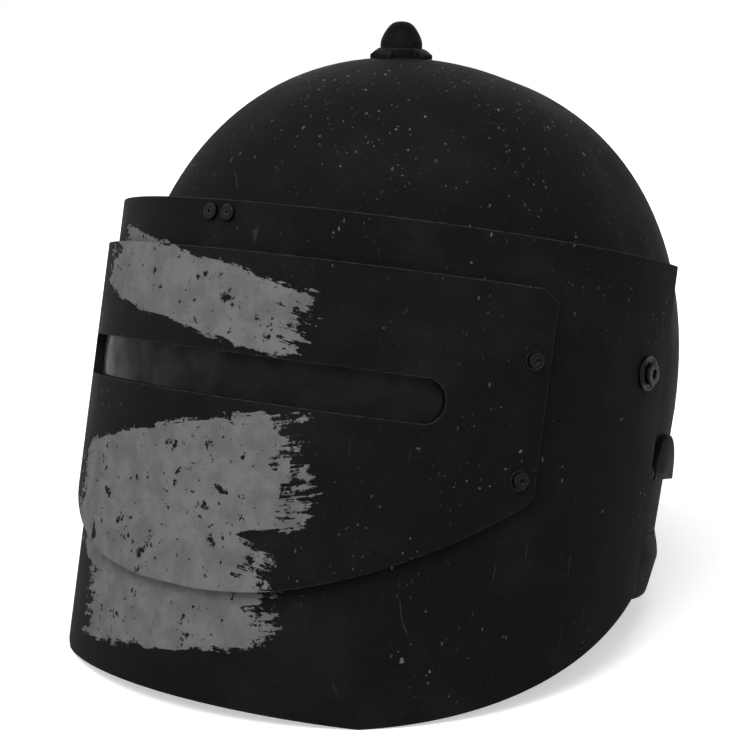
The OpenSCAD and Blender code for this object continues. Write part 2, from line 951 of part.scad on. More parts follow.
module plate_nuts() {
    seat = visor_in - plate_out - 0.25;
    color(black_zinc)
        stand()
            plate_screw_places()
                translate([0, 0, seat - plate_nut_h])
                    difference() {
                        cylinder(h = plate_nut_h, d = screw_d + 4, $fn = 6);
                        translate([0, 0, -1])
                            cylinder(h = 5, d = screw_d + 0.06);
                    }
}

module vision_glass() {
    color(glass_dark)
        stand()
            wall_slot(glass_face, plate_in - 0.1, slit_half + glass_angle - 0.1, -slit_drop, glass_h - 0.2);
}

module glass_gasket() {
    color(rubber_black)
        stand()
            difference() {
                wall_slot(visor_in, plate_in - 0.15, slit_half + window_angle - 0.1, -slit_drop, window_h - 0.2);
                wall_slot(visor_in - 5, plate_in + 5, slit_half + glass_angle, -slit_drop, glass_h);
            }
}

module glass_frame() {
    lap = frame_w / visor_r * 180 / PI;
    color(steel_worn)
        stand()
            difference() {
                wall_slot(glass_face, visor_in - 0.05, slit_half + window_angle + lap, -slit_drop,
                    window_h + 2 * frame_w);
                wall_slot(glass_face - 5, visor_in + 5, slit_half + glass_angle, -slit_drop, glass_h);
                frame_rivet_places()
                    translate([0, 0, -12])
                        cylinder(h = 24, d = 2.2);
            }
}

module frame_rivet_places() {
    for (row = [-1, 1])
        for (a = [-38:19:38])
            on_wall(a, visor_r, row * (window_h / 2 + frame_w * 0.55) - slit_drop)
                children();
}

module frame_rivets() {
    color(black_zinc)
        stand()
            frame_rivet_places() {
                translate([0, 0, -visor_t - glass_in - 0.35])
                    cylinder(h = visor_t + glass_in + 0.25, d = 2);
                translate([0, 0, -visor_t - glass_in - 0.55])
                    cylinder(h = 0.5, r1 = 1.2, r2 = 1.8);
            }
}

module band_screw_places() {
    angle = asin(band_screw_pitch / 2 / visor_r);
    for (side = [-1, 1])
        on_wall(side * angle, visor_r, visor_top - band_screw_down)
            children();
}

module band_screws() {
    color(black_zinc)
        stand()
            band_screw_places()
                translate([0, 0, 0.05])
                    socket_screw(band_screw_d, 6.6, 1.8, visor_t + catch_t + band_nut_h + 1);
}

module band_nuts() {
    color(black_zinc)
        stand()
            band_screw_places()
                translate([0, 0, -visor_t - catch_t - band_nut_h - 0.25])
                    difference() {
                        cylinder(h = band_nut_h, d = band_screw_d + 3.2, $fn = 6);
                        translate([0, 0, -1])
                            cylinder(h = 5, d = band_screw_d + 0.06);
                    }
}

// A spring leaf behind the band, with a lip that snaps on to the crown plate
module visor_catch() {
    half = 5.6;
    lip = 4.4;
    color(steel_worn)
        stand()
            difference() {
                union() {
                    ring_wall(visor_in - catch_t, visor_in - 0.05, half, visor_top - 16, visor_top - 1);
                    ring_wall(visor_in - lip, visor_in - 0.05, half * 0.6, visor_top - 2.2, visor_top - 1);
                    ring_wall(visor_in - lip - 0.8, visor_in - lip, half * 0.6, visor_top - 3.4, visor_top - 1);
                }
                band_screw_places()
                    translate([0, 0, -12])
                        cylinder(h = 24, d = band_screw_d + 0.3);
            }
}

shell();
face_opening_trim();
nape_roll();
crown_plate();
crown_plate_rivets();
crown_knob();
crown_knob_spring();
crown_knob_clip();
pivot_bushes();
pivot_washers();
pivot_screws();
pivot_nuts();
hearing_hood(1);  // left_hearing_hood
hearing_hood(-1);  // right_hearing_hood
hearing_hood_rivets();
brow_pad();
left_side_pad();
right_side_pad();
nape_pad();
crown_pad();
head_band();
left_strap_anchor();
right_strap_anchor();
strap_rivets();
left_chin_strap();
right_chin_strap();
chin_strap_buckle();
chin_cup();
visor();
face_plate();
plate_screws();
plate_washers();
plate_nuts();
vision_glass();
glass_gasket();
glass_frame();
frame_rivets();
band_screws();
band_nuts();
visor_catch();
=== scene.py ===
import bmesh
import bpy
import math
from mathutils import Matrix, Vector


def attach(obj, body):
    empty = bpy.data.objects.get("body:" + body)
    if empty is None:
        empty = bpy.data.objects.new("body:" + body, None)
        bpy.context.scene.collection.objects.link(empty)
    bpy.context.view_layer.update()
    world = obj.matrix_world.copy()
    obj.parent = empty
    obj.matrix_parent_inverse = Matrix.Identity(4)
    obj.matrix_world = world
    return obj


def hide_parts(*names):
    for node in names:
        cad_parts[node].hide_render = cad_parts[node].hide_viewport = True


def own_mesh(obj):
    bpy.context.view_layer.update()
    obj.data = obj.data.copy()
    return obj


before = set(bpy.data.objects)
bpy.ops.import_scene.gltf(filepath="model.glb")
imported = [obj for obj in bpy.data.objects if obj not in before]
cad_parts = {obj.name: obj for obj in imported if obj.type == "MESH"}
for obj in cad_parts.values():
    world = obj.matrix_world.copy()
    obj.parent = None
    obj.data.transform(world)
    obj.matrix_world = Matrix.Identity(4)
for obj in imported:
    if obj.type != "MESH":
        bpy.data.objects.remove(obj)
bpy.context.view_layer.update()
scene = bpy.context.scene
MM = 0.001


# Room: the helmet stands on a pale floor in soft studio light, seen from the photo's angle.
# The camera sits 0.83 m away, a little above the brow and to the wearer's left.
# The head frame, in which the visor stands upright and its pivots are at height 0, leans back by LEAN at rest
LEAN = math.radians(12.3217)
SHIFT, LIFT = 8.265 * MM, 128.7415 * MM
HEAD = Matrix.Translation((0, SHIFT, LIFT)) @ Matrix.Rotation(-LEAN, 4, "X")
AZIMUTH, ELEVATION = math.radians(36.652), math.radians(10.834)
CAMERA_AWAY = 827.1 * MM
FLOOR_HALF = 6

# From the helmet to the camera, and the picture's own right and up
back = Vector((math.sin(AZIMUTH) * math.cos(ELEVATION), -math.cos(AZIMUTH) * math.cos(ELEVATION),
               math.sin(ELEVATION)))
right = Vector((math.cos(AZIMUTH), math.sin(AZIMUTH), 0))
up = back.cross(right)
target = HEAD @ Vector((0, 0, -6.16 * MM)) + right * -6.93 * MM + up * -9.58 * MM
camera = bpy.data.objects.new("camera", bpy.data.cameras.new("camera"))
camera.data.lens = 85.4
camera.data.clip_end = 50
camera.location = target + back * CAMERA_AWAY
camera.rotation_mode = "QUATERNION"
camera.rotation_quaternion = (-back).to_track_quat("-Z", "Y")
scene.collection.objects.link(camera)
scene.camera = camera
scene.view_settings.view_transform = "Standard"


def srgb(code):
    """A linear colour from an sRGB hex value."""
    parts = [int(code[i:i + 2], 16) / 255 for i in (1, 3, 5)]
    return tuple(c / 12.92 if c < 0.04045 else ((c + 0.055) / 1.055) ** 2.4 for c in parts) + (1,)


def add(tree, kind, inputs=None, out=0, **settings):
    """Adds a node with its settings, values and links, and returns one of its outputs."""
    node = tree.nodes.new("ShaderNode" + kind)
    for name, value in settings.items():
        setattr(node, name, value)
    for name, value in (inputs or {}).items():
        if isinstance(value, bpy.types.NodeSocket):
            tree.links.new(value, node.inputs[name])
        else:
            node.inputs[name].default_value = value
    return node.outputs[out] if node.outputs else None


def new_material(name):
    """A material with an empty node tree, and that tree."""
    material = bpy.data.materials.new(name)
    material.use_nodes = True
    material.node_tree.nodes.clear()
    return material, material.node_tree


def shows_backdrop(tree):
    """1 for the rays that show the pale backdrop: the camera's, and those that gloss and glass send on."""
    seen = add(tree, "LightPath", out="Is Camera Ray")
    gloss = add(tree, "LightPath", out="Is Glossy Ray")
    clear = add(tree, "LightPath", out="Is Transmission Ray")
    return add(tree, "Math", {0: add(tree, "Math", {0: seen, 1: gloss}, operation="MAXIMUM"), 1: clear},
               operation="MAXIMUM")


floor_paint, tree = new_material("pale_floor")
matte = add(tree, "BsdfDiffuse", {"Color": srgb("#f7f7f6"), "Roughness": 0.9})
# It glows more the farther it lies from the helmet, so the shadow keeps its tone and the rest is white
away = add(tree, "VectorMath", {0: add(tree, "TexCoord", out="Object")}, out="Value", operation="LENGTH")
far = add(tree, "MapRange", {0: away, 1: 0.25, 2: 1.1, 3: 0.46, 4: 0.95})
glow = add(tree, "Emission", {"Color": srgb("#ffffff"), "Strength": far})
lit = add(tree, "AddShader", {0: matte, 1: glow})
pale = add(tree, "MixShader", {0: shows_backdrop(tree), 1: matte, 2: lit})
# From under the floor it can be looked through, so that the inside of the helmet can be seen from below
under = add(tree, "NewGeometry", out="Backfacing")
nothing = add(tree, "BsdfTransparent")
add(tree, "OutputMaterial", {"Surface": add(tree, "MixShader", {0: under, 1: pale, 2: nothing})})

bm = bmesh.new()
bmesh.ops.create_grid(bm, x_segments=1, y_segments=1, size=FLOOR_HALF)
floor_mesh = bpy.data.meshes.new("floor")
bm.to_mesh(floor_mesh)
bm.free()
floor_mesh.materials.append(floor_paint)
floor = bpy.data.objects.new("floor", floor_mesh)
scene.collection.objects.link(floor)

world = bpy.data.worlds.new("studio")
scene.world = world
world.use_nodes = True
tree = world.node_tree
tree.nodes.clear()
# The room is lightest on the camera's side and falls off behind the helmet, so its outline stays dark
towards = add(tree, "VectorMath", {0: add(tree, "TexCoord", out="Generated"), 1: back}, out="Value",
              operation="DOT_PRODUCT")
room = add(tree, "MapRange", {0: towards, 1: -0.4, 2: 0.8, 3: 0.14, 4: 0.62})
strength = add(tree, "Mix", {0: shows_backdrop(tree), 2: room, 3: 1.0}, data_type="FLOAT")
add(tree, "OutputWorld", {"Surface": add(tree, "Background", {"Color": (1, 1, 1, 1), "Strength": strength})})

# A key lamp above the face, a wide fill on the wearer's right, and one behind, for the views from there
LAMPS_MEET = Vector((0, 0, 0.13))
for name, place, size, power in [("key", (0.4, -1.0, 1.4), 1.0, 14), ("fill", (-1.3, -0.9, 0.9), 1.6, 4),
                                 ("rear", (-0.9, 1.2, 1.3), 1.2, 4)]:
    lamp = bpy.data.objects.new(name, bpy.data.lights.new(name, "AREA"))
    lamp.data.size, lamp.data.energy = size, power
    lamp.location = place
    lamp.rotation_mode = "QUATERNION"
    lamp.rotation_quaternion = (LAMPS_MEET - Vector(place)).to_track_quat("-Z", "Y")
    scene.collection.objects.link(lamp)


# Shell: pressed 2 mm steel, sprayed satin black and knocked about in use.
# The paint is chipped to its pale primer in small flecks, most of them on the front of the crown.
def head_place(tree):
    """Object coordinates turned into the head frame, in which the visor stands upright."""
    spot = add(tree, "TexCoord", out="Object")
    start = Matrix.Rotation(LEAN, 3, "X") @ Vector((0, SHIFT, LIFT))
    return add(tree, "Mapping", {"Vector": spot, "Location": -start, "Rotation": (LEAN, 0, 0)})


# Map Range with an eased step, for marks whose edges fade
SMOOTH = {"interpolation_type": "SMOOTHSTEP"}


def per_mm(size):
    """Texture scale for features of a size in millimetres."""
    return 1 / (size * MM)


def chip_mask(tree, spot, cell, largest, rarity):
    """Round chips of mixed size: one in each cell, most of them too small to show."""
    warp = add(tree, "TexNoise", {"Vector": spot, "Scale": per_mm(cell * 0.16), "Detail": 3.0}, out="Color")
    centred = add(tree, "VectorMath", {0: warp, 1: (0.5, 0.5, 0.5)}, operation="SUBTRACT")
    bent = add(tree, "VectorMath", {0: centred, 1: (cell * 0.3 * MM,) * 3}, operation="MULTIPLY")
    moved = add(tree, "VectorMath", {0: spot, 1: bent}, operation="ADD")
    cells = {"Vector": moved, "Scale": per_mm(cell)}
    distance = add(tree, "TexVoronoi", cells, out="Distance")
    chance = add(tree, "SeparateColor", {0: add(tree, "TexVoronoi", cells, out="Color")})
    reach = add(tree, "Math", {0: add(tree, "Math", {0: chance, 1: rarity}, operation="POWER"),
                               1: largest / cell}, operation="MULTIPLY")
    inside = add(tree, "Math", {0: reach, 1: distance}, operation="SUBTRACT")
    return add(tree, "MapRange", {0: inside, 1: 0.0, 2: 0.03}, **SMOOTH)


def rubbed_and_highlit_edges(tree, width, least, most, noise, patches):
    """The normal of a round of a width in millimetres, and how pale the surface is painted at its edges, as
    rubbed wear and partly as a painted highlight: from nothing to fully where the round looks along it by the
    shares least and most, in patches of a noise."""
    round_normal = add(tree, "Bevel", {"Radius": width * MM}, samples=6)
    facing = add(tree, "NewGeometry", out="Normal")
    turn = add(tree, "VectorMath", {0: round_normal, 1: facing}, out="Value", operation="DOT_PRODUCT")
    at_edge = add(tree, "MapRange", {0: turn, 1: least, 2: most}, **SMOOTH)
    broken = add(tree, "MapRange", {0: noise, **patches}, **SMOOTH)
    return round_normal, add(tree, "Math", {0: at_edge, 1: broken}, operation="MULTIPLY")


def black_paint(name, base, chip_and_highlight, crown_chips=False, motif=None, edge=0.5, gloss=0.64):
    """Sprayed satin black over steel: clouds, orange peel, pale chips, hairline scratches, and edges painted
    pale, partly as rubbed paint and partly as a painted highlight.
    """
    material, tree = new_material(name)
    spot = head_place(tree)
    clouds = add(tree, "TexNoise", {"Vector": spot, "Scale": per_mm(38), "Detail": 5.0, "Roughness": 0.6})
    dust = add(tree, "TexNoise", {"Vector": spot, "Scale": per_mm(1.6), "Detail": 2.0})
    worn = add(tree, "MapRange", {0: clouds, 1: 0.42, 2: 0.68}, **SMOOTH)
    colour = add(tree, "Mix", {0: worn, 6: srgb(base), 7: srgb("#1d1d1e")}, out=2, data_type="RGBA")
    dusty = add(tree, "MapRange", {0: dust, 1: 0.58, 2: 0.8, 3: 0.0, 4: 0.3}, **SMOOTH)
    colour = add(tree, "Mix", {0: dusty, 6: colour, 7: srgb("#2c2c2c")}, out=2, data_type="RGBA")
    # Where the flecks gather
    gather = add(tree, "TexNoise", {"Vector": spot, "Scale": per_mm(60), "Detail": 3.0})
    here = add(tree, "MapRange", {0: gather, 1: 0.44, 2: 0.62}, **SMOOTH)
    if crown_chips:
        y, z = [add(tree, "SeparateXYZ", {0: spot}, out=k) for k in (1, 2)]
        high = add(tree, "MapRange", {0: z, 1: 45 * MM, 2: 100 * MM}, **SMOOTH)
        front = add(tree, "MapRange", {0: y, 1: 60 * MM, 2: -10 * MM}, **SMOOTH)
        crown = add(tree, "Math", {0: high, 1: front}, operation="MULTIPLY")
        here = add(tree, "Math", {0: here, 1: crown}, operation="ADD", use_clamp=True)
    # Big chips lie anywhere; dots and slanted dashes lie where the flecks gather, and nicks on the crown
    flecks = chip_mask(tree, spot, 13, 1.15, 3.2)
    slanted = add(tree, "Mapping", {"Vector": spot, "Scale": (1, 1, 0.45), "Rotation": (0.3, 0.95, 0.2)})
    kinds = [(here, spot, 3.0, 0.6, 2.8), (here, slanted, 2.2, 0.5, 2.8)]
    if crown_chips:
        kinds.append((crown, slanted, 3.4, 0.85, 2.2))
    for region, *chips in kinds:
        more = add(tree, "Math", {0: chip_mask(tree, *chips), 1: region}, operation="MULTIPLY")
        flecks = add(tree, "Math", {0: flecks, 1: more}, operation="MAXIMUM")
    # Some chips go to the pale primer, others only into the paint
    deep = add(tree, "TexNoise", {"Vector": spot, "Scale": per_mm(5), "Detail": 1.0})
    depth = add(tree, "MapRange", {0: deep, 1: 0.34, 2: 0.66, 3: 0.15, 4: 1.0}, **SMOOTH)
    flecks = add(tree, "Math", {0: flecks, 1: depth}, operation="MULTIPLY")
    # Hairline scratches: the level lines of a noise drawn out along the surface
    drawn = add(tree, "Mapping", {"Vector": spot, "Scale": (1, 1, 0.16), "Rotation": (0.5, 0.9, 0.3)})
    grain = add(tree, "TexNoise", {"Vector": drawn, "Scale": per_mm(24), "Detail": 1.0})
    off_level = add(tree, "Math", {0: add(tree, "Math", {0: grain, 1: 0.5}, operation="SUBTRACT")},
                    operation="ABSOLUTE")
    line = add(tree, "MapRange", {0: off_level, 1: 0.0035, 2: 0.001}, **SMOOTH)
    where = add(tree, "TexNoise", {"Vector": spot, "Scale": per_mm(17), "Detail": 1.0})
    some = add(tree, "MapRange", {0: where, 1: 0.63, 2: 0.7, 3: 0.0, 4: 0.22}, **SMOOTH)
    line = add(tree, "Math", {0: line, 1: some}, operation="MULTIPLY")
    torn = add(tree, "TexNoise", {"Vector": spot, "Scale": per_mm(4.5), "Detail": 4.0, "Roughness": 0.7})
    # The edges are painted pale: partly rubbed paint, and partly a painted highlight along each edge
    patches = {1: 0.36, 2: 0.62, 3: edge / 4, 4: edge}
    round_normal, rubbed_and_highlit = rubbed_and_highlit_edges(tree, 0.8, 0.995, 0.93, torn, patches)
    bare_and_highlit = add(tree, "Math", {0: add(tree, "Math", {0: flecks, 1: line}, operation="MAXIMUM"), 1: rubbed_and_highlit},
               operation="MAXIMUM")
    colour = add(tree, "Mix", {0: bare_and_highlit, 6: colour, 7: srgb(chip_and_highlight)}, out=2, data_type="RGBA")
    rough = add(tree, "MapRange", {0: clouds, 1: 0.3, 2: 0.7, 3: gloss - 0.05, 4: gloss + 0.12}, **SMOOTH)
    peel = add(tree, "TexNoise", {"Vector": spot, "Scale": per_mm(0.9), "Detail": 2.0})
    height = add(tree, "Math", {0: add(tree, "Math", {0: peel, 1: 0.25}, operation="MULTIPLY"), 1: bare_and_highlit},
                 operation="SUBTRACT")
    if motif:
        painted, ink = motif(tree, spot)
        colour = add(tree, "Mix", {0: painted, 6: colour, 7: ink}, out=2, data_type="RGBA")
        rough = add(tree, "Mix", {0: painted, 2: rough, 3: 0.78}, data_type="FLOAT")
        height = add(tree, "Math", {0: height, 1: painted}, operation="ADD")
    bump = add(tree, "Bump", {"Height": height, "Normal": round_normal, "Strength": 0.3,
                              "Distance": 0.12 * MM})
    shader = add(tree, "BsdfPrincipled", {"Base Color": colour, "Roughness": rough, "Normal": bump,
                                          "Specular IOR Level": 0.022})
    add(tree, "OutputMaterial", {"Surface": shader})
    return material


shell_paint = black_paint("satin_black_shell", "#161617", "#666664", crown_chips=True)


# Corners closer than JOIN are one corner; edges that turn by more than SHARP get rounded
JOIN, SHARP = 0.004 * MM, math.radians(38)


def finish_piece(name, material, width=0.35):
    """A CAD piece made fit to show: its corners joined, its edges eased, its curved walls shaded smooth."""
    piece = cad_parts[name]
    piece.data.materials.clear()
    piece.data.materials.append(material)
    piece.data.polygons.foreach_set("use_smooth", [True] * len(piece.data.polygons))
    weld = piece.modifiers.new("joined", "WELD")
    weld.merge_threshold = JOIN
    ease = piece.modifiers.new("eased", "BEVEL")
    ease.width, ease.segments = width * MM, 2
    ease.limit_method, ease.angle_limit = "ANGLE", SHARP
    ease.harden_normals = True
    return piece


def show(name, bm, material, body, smooth=35):
    """Makes a piece of a bmesh, in the row frame, with its faces shaded smooth up to an angle in degrees. Its
    material is the one it is given."""
    mesh = bpy.data.meshes.new(name)
    bm.to_mesh(mesh)
    bm.free()
    piece = bpy.data.objects.new(name, mesh)
    scene.collection.objects.link(piece)
    mesh.materials.append(material)
    mesh.shade_smooth()
    mesh.set_sharp_from_angle(angle=math.radians(smooth))
    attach(piece, body)
    return piece


HEAD_BACK = HEAD.inverted()
# A face counts as the wall itself, not its edge, where it looks along the outward direction by this share
ON_WALL, NEAR_WALL, ONE_EDGE = 0.935, 0.85, 0.8


def eased_wall(name, material, body, outward, width):
    """A copy of a CAD piece with its edges rounded, and its curved faces shaded by their true outward
    direction in the head frame, so that the thin triangles between its holes don't show as streaks."""
    bm = bmesh.new()
    bm.from_mesh(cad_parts[name].data)
    bmesh.ops.remove_doubles(bm, verts=bm.verts, dist=JOIN)
    bmesh.ops.dissolve_degenerate(bm, dist=JOIN / 2, edges=bm.edges)
    bmesh.ops.dissolve_limit(bm, angle_limit=math.radians(0.6), verts=bm.verts, edges=bm.edges)
    corners = [e for e in bm.edges if e.calc_face_angle(0) > SHARP]
    bmesh.ops.bevel(bm, geom=corners, offset=width * MM, offset_type="OFFSET", segments=2, profile=0.5,
                    affect="EDGES", material=-1, clamp_overlap=False)
    bm.normal_update()
    turn = HEAD.to_3x3()

    def wall_side(face):
        """1 for a face of the wall's outside, -1 for one of its inside, and 0 for its edges and holes."""
        lean = face.normal.dot(turn @ outward(HEAD_BACK @ face.calc_center_median()))
        return 0 if abs(lean) < ON_WALL else math.copysign(1, lean)

    sides = {face: wall_side(face) for face in bm.faces}
    normals = []
    for face in bm.faces:
        for loop in face.loops:
            joined = [sides[f] for f in loop.vert.link_faces if sides[f]]
            facing = turn @ outward(HEAD_BACK @ loop.vert.co) * (sides[face] or (joined[0] if joined else 0))
            if sides[face] or facing.dot(face.normal) > NEAR_WALL:
                normals.append(facing)
                continue
            near = [f for f in loop.vert.link_faces if not sides[f] and f.normal.dot(face.normal) > ONE_EDGE]
            normals.append(sum((f.normal * f.calc_area() for f in near), Vector()).normalized())
    piece = show(name + "_dressed", bm, material, body)
    piece.data.normals_split_custom_set(normals)
    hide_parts(name)
    return piece


# The dome is a round of SHELL_R, drawn out from SHELL_FRONT to SHELL_REAR.
# It is widest WIDE_DROP below the pivots, and below that its wall draws in by RIM_SLOPE.
SHELL_R, SHELL_RISE, WIDE_DROP, FULLNESS = 123.4 * MM, 144 * MM, 14 * MM, 2.2
SHELL_FRONT, SHELL_REAR, RIM_SLOPE = 3 * MM, 21 * MM, 3 / 84


def off_dome(p):
    """Outward direction of the shell: a full dome above its widest ring, and a wall that draws in below."""
    flat = Vector((p.x, p.y - min(max(p.y, SHELL_FRONT), SHELL_REAR), 0))
    spread, rise = flat.length, p.z + WIDE_DROP
    if spread < 0.01 * MM:
        return Vector((0, 0, 1))
    if rise <= 0:
        return (flat / spread - Vector((0, 0, RIM_SLOPE))).normalized()
    aside = (spread / SHELL_R) ** (FULLNESS - 1) / SHELL_R
    upward = (rise / SHELL_RISE) ** (FULLNESS - 1) / SHELL_RISE
    return (flat / spread * aside + Vector((0, 0, upward))).normalized()


eased_wall("shell", shell_paint, "helmet", off_dome, 0.4)


# Rubber: black moulded strip round the face opening, and the rolled bumper bonded over the rear rim.
# It is duller than the paint, a little dusty, and paler where it has been rubbed.
def moulded_rubber(name, base, dusty):
    """Matt rubber: fine pores, a little dust, and paler along its edges, where they are worn."""
    material, tree = new_material(name)
    spot = head_place(tree)
    blotch = add(tree, "TexNoise", {"Vector": spot, "Scale": per_mm(22), "Detail": 5.0, "Roughness": 0.65})
    pores = add(tree, "TexNoise", {"Vector": spot, "Scale": per_mm(0.8), "Detail": 2.0})
    round_normal, rubbed_and_highlit = rubbed_and_highlit_edges(tree, 1.4, 0.99, 0.9, blotch, {1: 0.35, 2: 0.6, 3: 0.1, 4: 0.45})
    settled = add(tree, "MapRange", {0: blotch, 1: 0.48, 2: 0.72, 3: 0, 4: 0.4}, **SMOOTH)
    dust = add(tree, "Math", {0: settled, 1: rubbed_and_highlit}, operation="MAXIMUM")
    colour = add(tree, "Mix", {0: dust, 6: srgb(base), 7: srgb(dusty)}, out=2, data_type="RGBA")
    bump = add(tree, "Bump", {"Height": pores, "Normal": round_normal, "Strength": 0.25,
                              "Distance": 0.1 * MM})
    rough = add(tree, "MapRange", {0: blotch, 1: 0.3, 2: 0.7, 3: 0.62, 4: 0.82}, **SMOOTH)
    shader = add(tree, "BsdfPrincipled", {"Base Color": colour, "Roughness": rough, "Normal": bump,
                                          "Specular IOR Level": 0.04})
    add(tree, "OutputMaterial", {"Surface": shader})
    return material


rubber = moulded_rubber("moulded_rubber", "#0c0c0c", "#1f1e1d")
finish_piece("face_opening_trim", rubber, 0.5)


def close_ends(bm, width):
    """Fills the open ends of a bmesh, and rounds their edges over a width in millimetres."""
    ends = bmesh.ops.holes_fill(bm, edges=[e for e in bm.edges if e.is_boundary])["faces"]
    edges = [e for face in ends for e in face.edges]
    bmesh.ops.bevel(bm, geom=edges, offset=width * MM, offset_type="OFFSET", segments=3, profile=0.5,
                    affect="EDGES", material=-1, clamp_overlap=True)


def set_in(bm, place):
    """Turns the faces of a bmesh outward, and moves it to its place."""
    bmesh.ops.recalc_face_normals(bm, faces=bm.faces)
    bmesh.ops.transform(bm, matrix=place, verts=bm.verts)


# The bumper is spun from its section: a soft ridge above, a wall down to the foot, and a fold inside the rim
ROLL_HALF = math.radians(85)
roll_section = [(121.5, -71), (121.75, -72.2), (122.35, -74.2), (123, -76.4), (123.5, -78.6), (123.82, -80.5),
                (123.95, -82), (123.88, -83.4), (123.6, -85), (123.05, -88), (122.4, -92), (121.7, -96),
                (121.15, -98.8), (120.7, -100.1), (119.9, -100.85), (118.6, -101), (116, -101),
                (114.95, -100.6), (114.75, -99.6), (115, -97), (115.3, -93), (115.45, -90.3),
                (115.9, -89.2), (116.9, -88.5), (118.6, -88.1), (118.4, -95), (118.3, -98.1), (120.5, -98.1),
                (120.9, -88), (121.2, -78)]
bm = bmesh.new()
start = Matrix.Translation((0, SHELL_REAR, 0)) @ Matrix.Rotation(math.pi / 2 - ROLL_HALF, 4, "Z")
ring = [bm.verts.new(start @ Vector((r * MM, 0, z * MM))) for r, z in roll_section]
edges = [bm.edges.new(pair) for pair in zip(ring, ring[1:] + ring[:1])]
bmesh.ops.spin(bm, geom=ring + edges, axis=(0, 0, 1), cent=(0, SHELL_REAR, 0), angle=2 * ROLL_HALF, steps=96)
close_ends(bm, 0.8)
set_in(bm, HEAD)
roll = show("rolled_bumper", bm, rubber, "helmet", smooth=42)
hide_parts("nape_roll")


# Hardware: blackened zinc screws, washers, nuts and rivets.
# The plating is dark and slightly mottled, and painted brighter on its corners, partly as worn steel and
# partly as a painted highlight.
def plated_steel(name, base, bright, rough):
    """Plated steel: finely mottled, and painted brighter at its corners, partly as wear and partly as a
    painted highlight.
    """
    material, tree = new_material(name)
    spot = head_place(tree)
    mottle = add(tree, "TexNoise", {"Vector": spot, "Scale": per_mm(3.2), "Detail": 4.0, "Roughness": 0.65})
    # Its corners are painted brighter: worn plating, and partly a painted highlight
    round_normal, rubbed_and_highlit = rubbed_and_highlit_edges(tree, 0.45, 0.99, 0.88, mottle, {1: 0.36, 2: 0.6, 3: 0.1, 4: 0.8})
    colour = add(tree, "Mix", {0: rubbed_and_highlit, 6: srgb(base), 7: srgb(bright)}, out=2, data_type="RGBA")
    fine = add(tree, "TexNoise", {"Vector": spot, "Scale": per_mm(0.5), "Detail": 2.0})
    bump = add(tree, "Bump", {"Height": fine, "Normal": round_normal, "Strength": 0.15,
                              "Distance": 0.05 * MM})
    mixed = add(tree, "MapRange", {0: mottle, 1: 0.3, 2: 0.7, 3: rough - 0.08, 4: rough + 0.12}, **SMOOTH)
    shader = add(tree, "BsdfPrincipled", {"Base Color": colour, "Metallic": 1.0, "Roughness": mixed,
                                          "Normal": bump})
    add(tree, "OutputMaterial", {"Surface": shader})
    return material


black_zinc = plated_steel("black_zinc", "#1c1c1e", "#6c6c6e", 0.45)
rivet_steel = plated_steel("rivet_steel", "#232324", "#78787a", 0.5)
spring_steel = plated_steel("oiled_spring_steel", "#6c6c6e", "#a8a8aa", 0.34)
bush_steel = plated_steel("turned_bush_steel", "#7b7b7d", "#b2b2b4", 0.3)


# Crown knob: a turned steel dome on a sprung stem, over a four-legged plate riveted to the crown.
# It is sprayed with the helmet; the edge of the lifted visor comes to rest against it.
knob_paint = black_paint("satin_black_knob", "#0e0e0f", "#5f5f5d", edge=0.4, gloss=0.56)
finish_piece("crown_plate", knob_paint, 0.3)
finish_piece("crown_plate_rivets", rivet_steel, 0.15)
finish_piece("crown_knob_clip", spring_steel, 0.12)

KNOB_LEAN = math.radians(9.4286)
KNOB_FOOT = Vector((0, -21, 128.202)) * MM
ON_KNOB = HEAD @ Matrix.Translation(KNOB_FOOT) @ Matrix.Rotation(KNOB_LEAN, 4, "X")


def turned(profile, place, steps=72):
    """A closed turned solid: the profile, radius and height in millimetres, is spun round its axis."""
    bm = bmesh.new()
    points = [bm.verts.new((r * MM, 0, z * MM)) for r, z in profile]
    edges = [bm.edges.new(pair) for pair in zip(points, points[1:])]
    bmesh.ops.spin(bm, geom=points + edges, axis=(0, 0, 1), cent=(0, 0, 0), angle=math.tau, steps=steps,
                   use_merge=True)
    bmesh.ops.remove_doubles(bm, verts=bm.verts, dist=0.002 * MM)
    set_in(bm, place)
    return bm


knob_profile = [(0, 16.2), (1.2, 16.17), (2.4, 15.98), (3.5, 15.62), (4.5, 15.06), (5.4, 14.3), (6.3, 13.25),
                (7.1, 12.1), (7.8, 10.95), (8.4, 9.8), (8.85, 8.8), (9.2, 7.8), (9.4, 6.9), (9.48, 6.2),
                (9.5, 5.6), (9.5, 4.0), (9.44, 3.66), (9.3, 3.42), (9.08, 3.3), (7.1, 3.3), (6.9, 3.5),
                (6.9, 9.0), (6.6, 9.4), (4.4, 10.7), (4, 10.5), (4, -2.4), (3.05, -2.45), (3.05, -3.55),
                (4, -3.6), (4, -4.9), (3.5, -5.4), (0, -5.4)]
knob = show("turned_knob", turned(knob_profile, ON_KNOB), knob_paint, "crown_knob")
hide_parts("crown_knob")

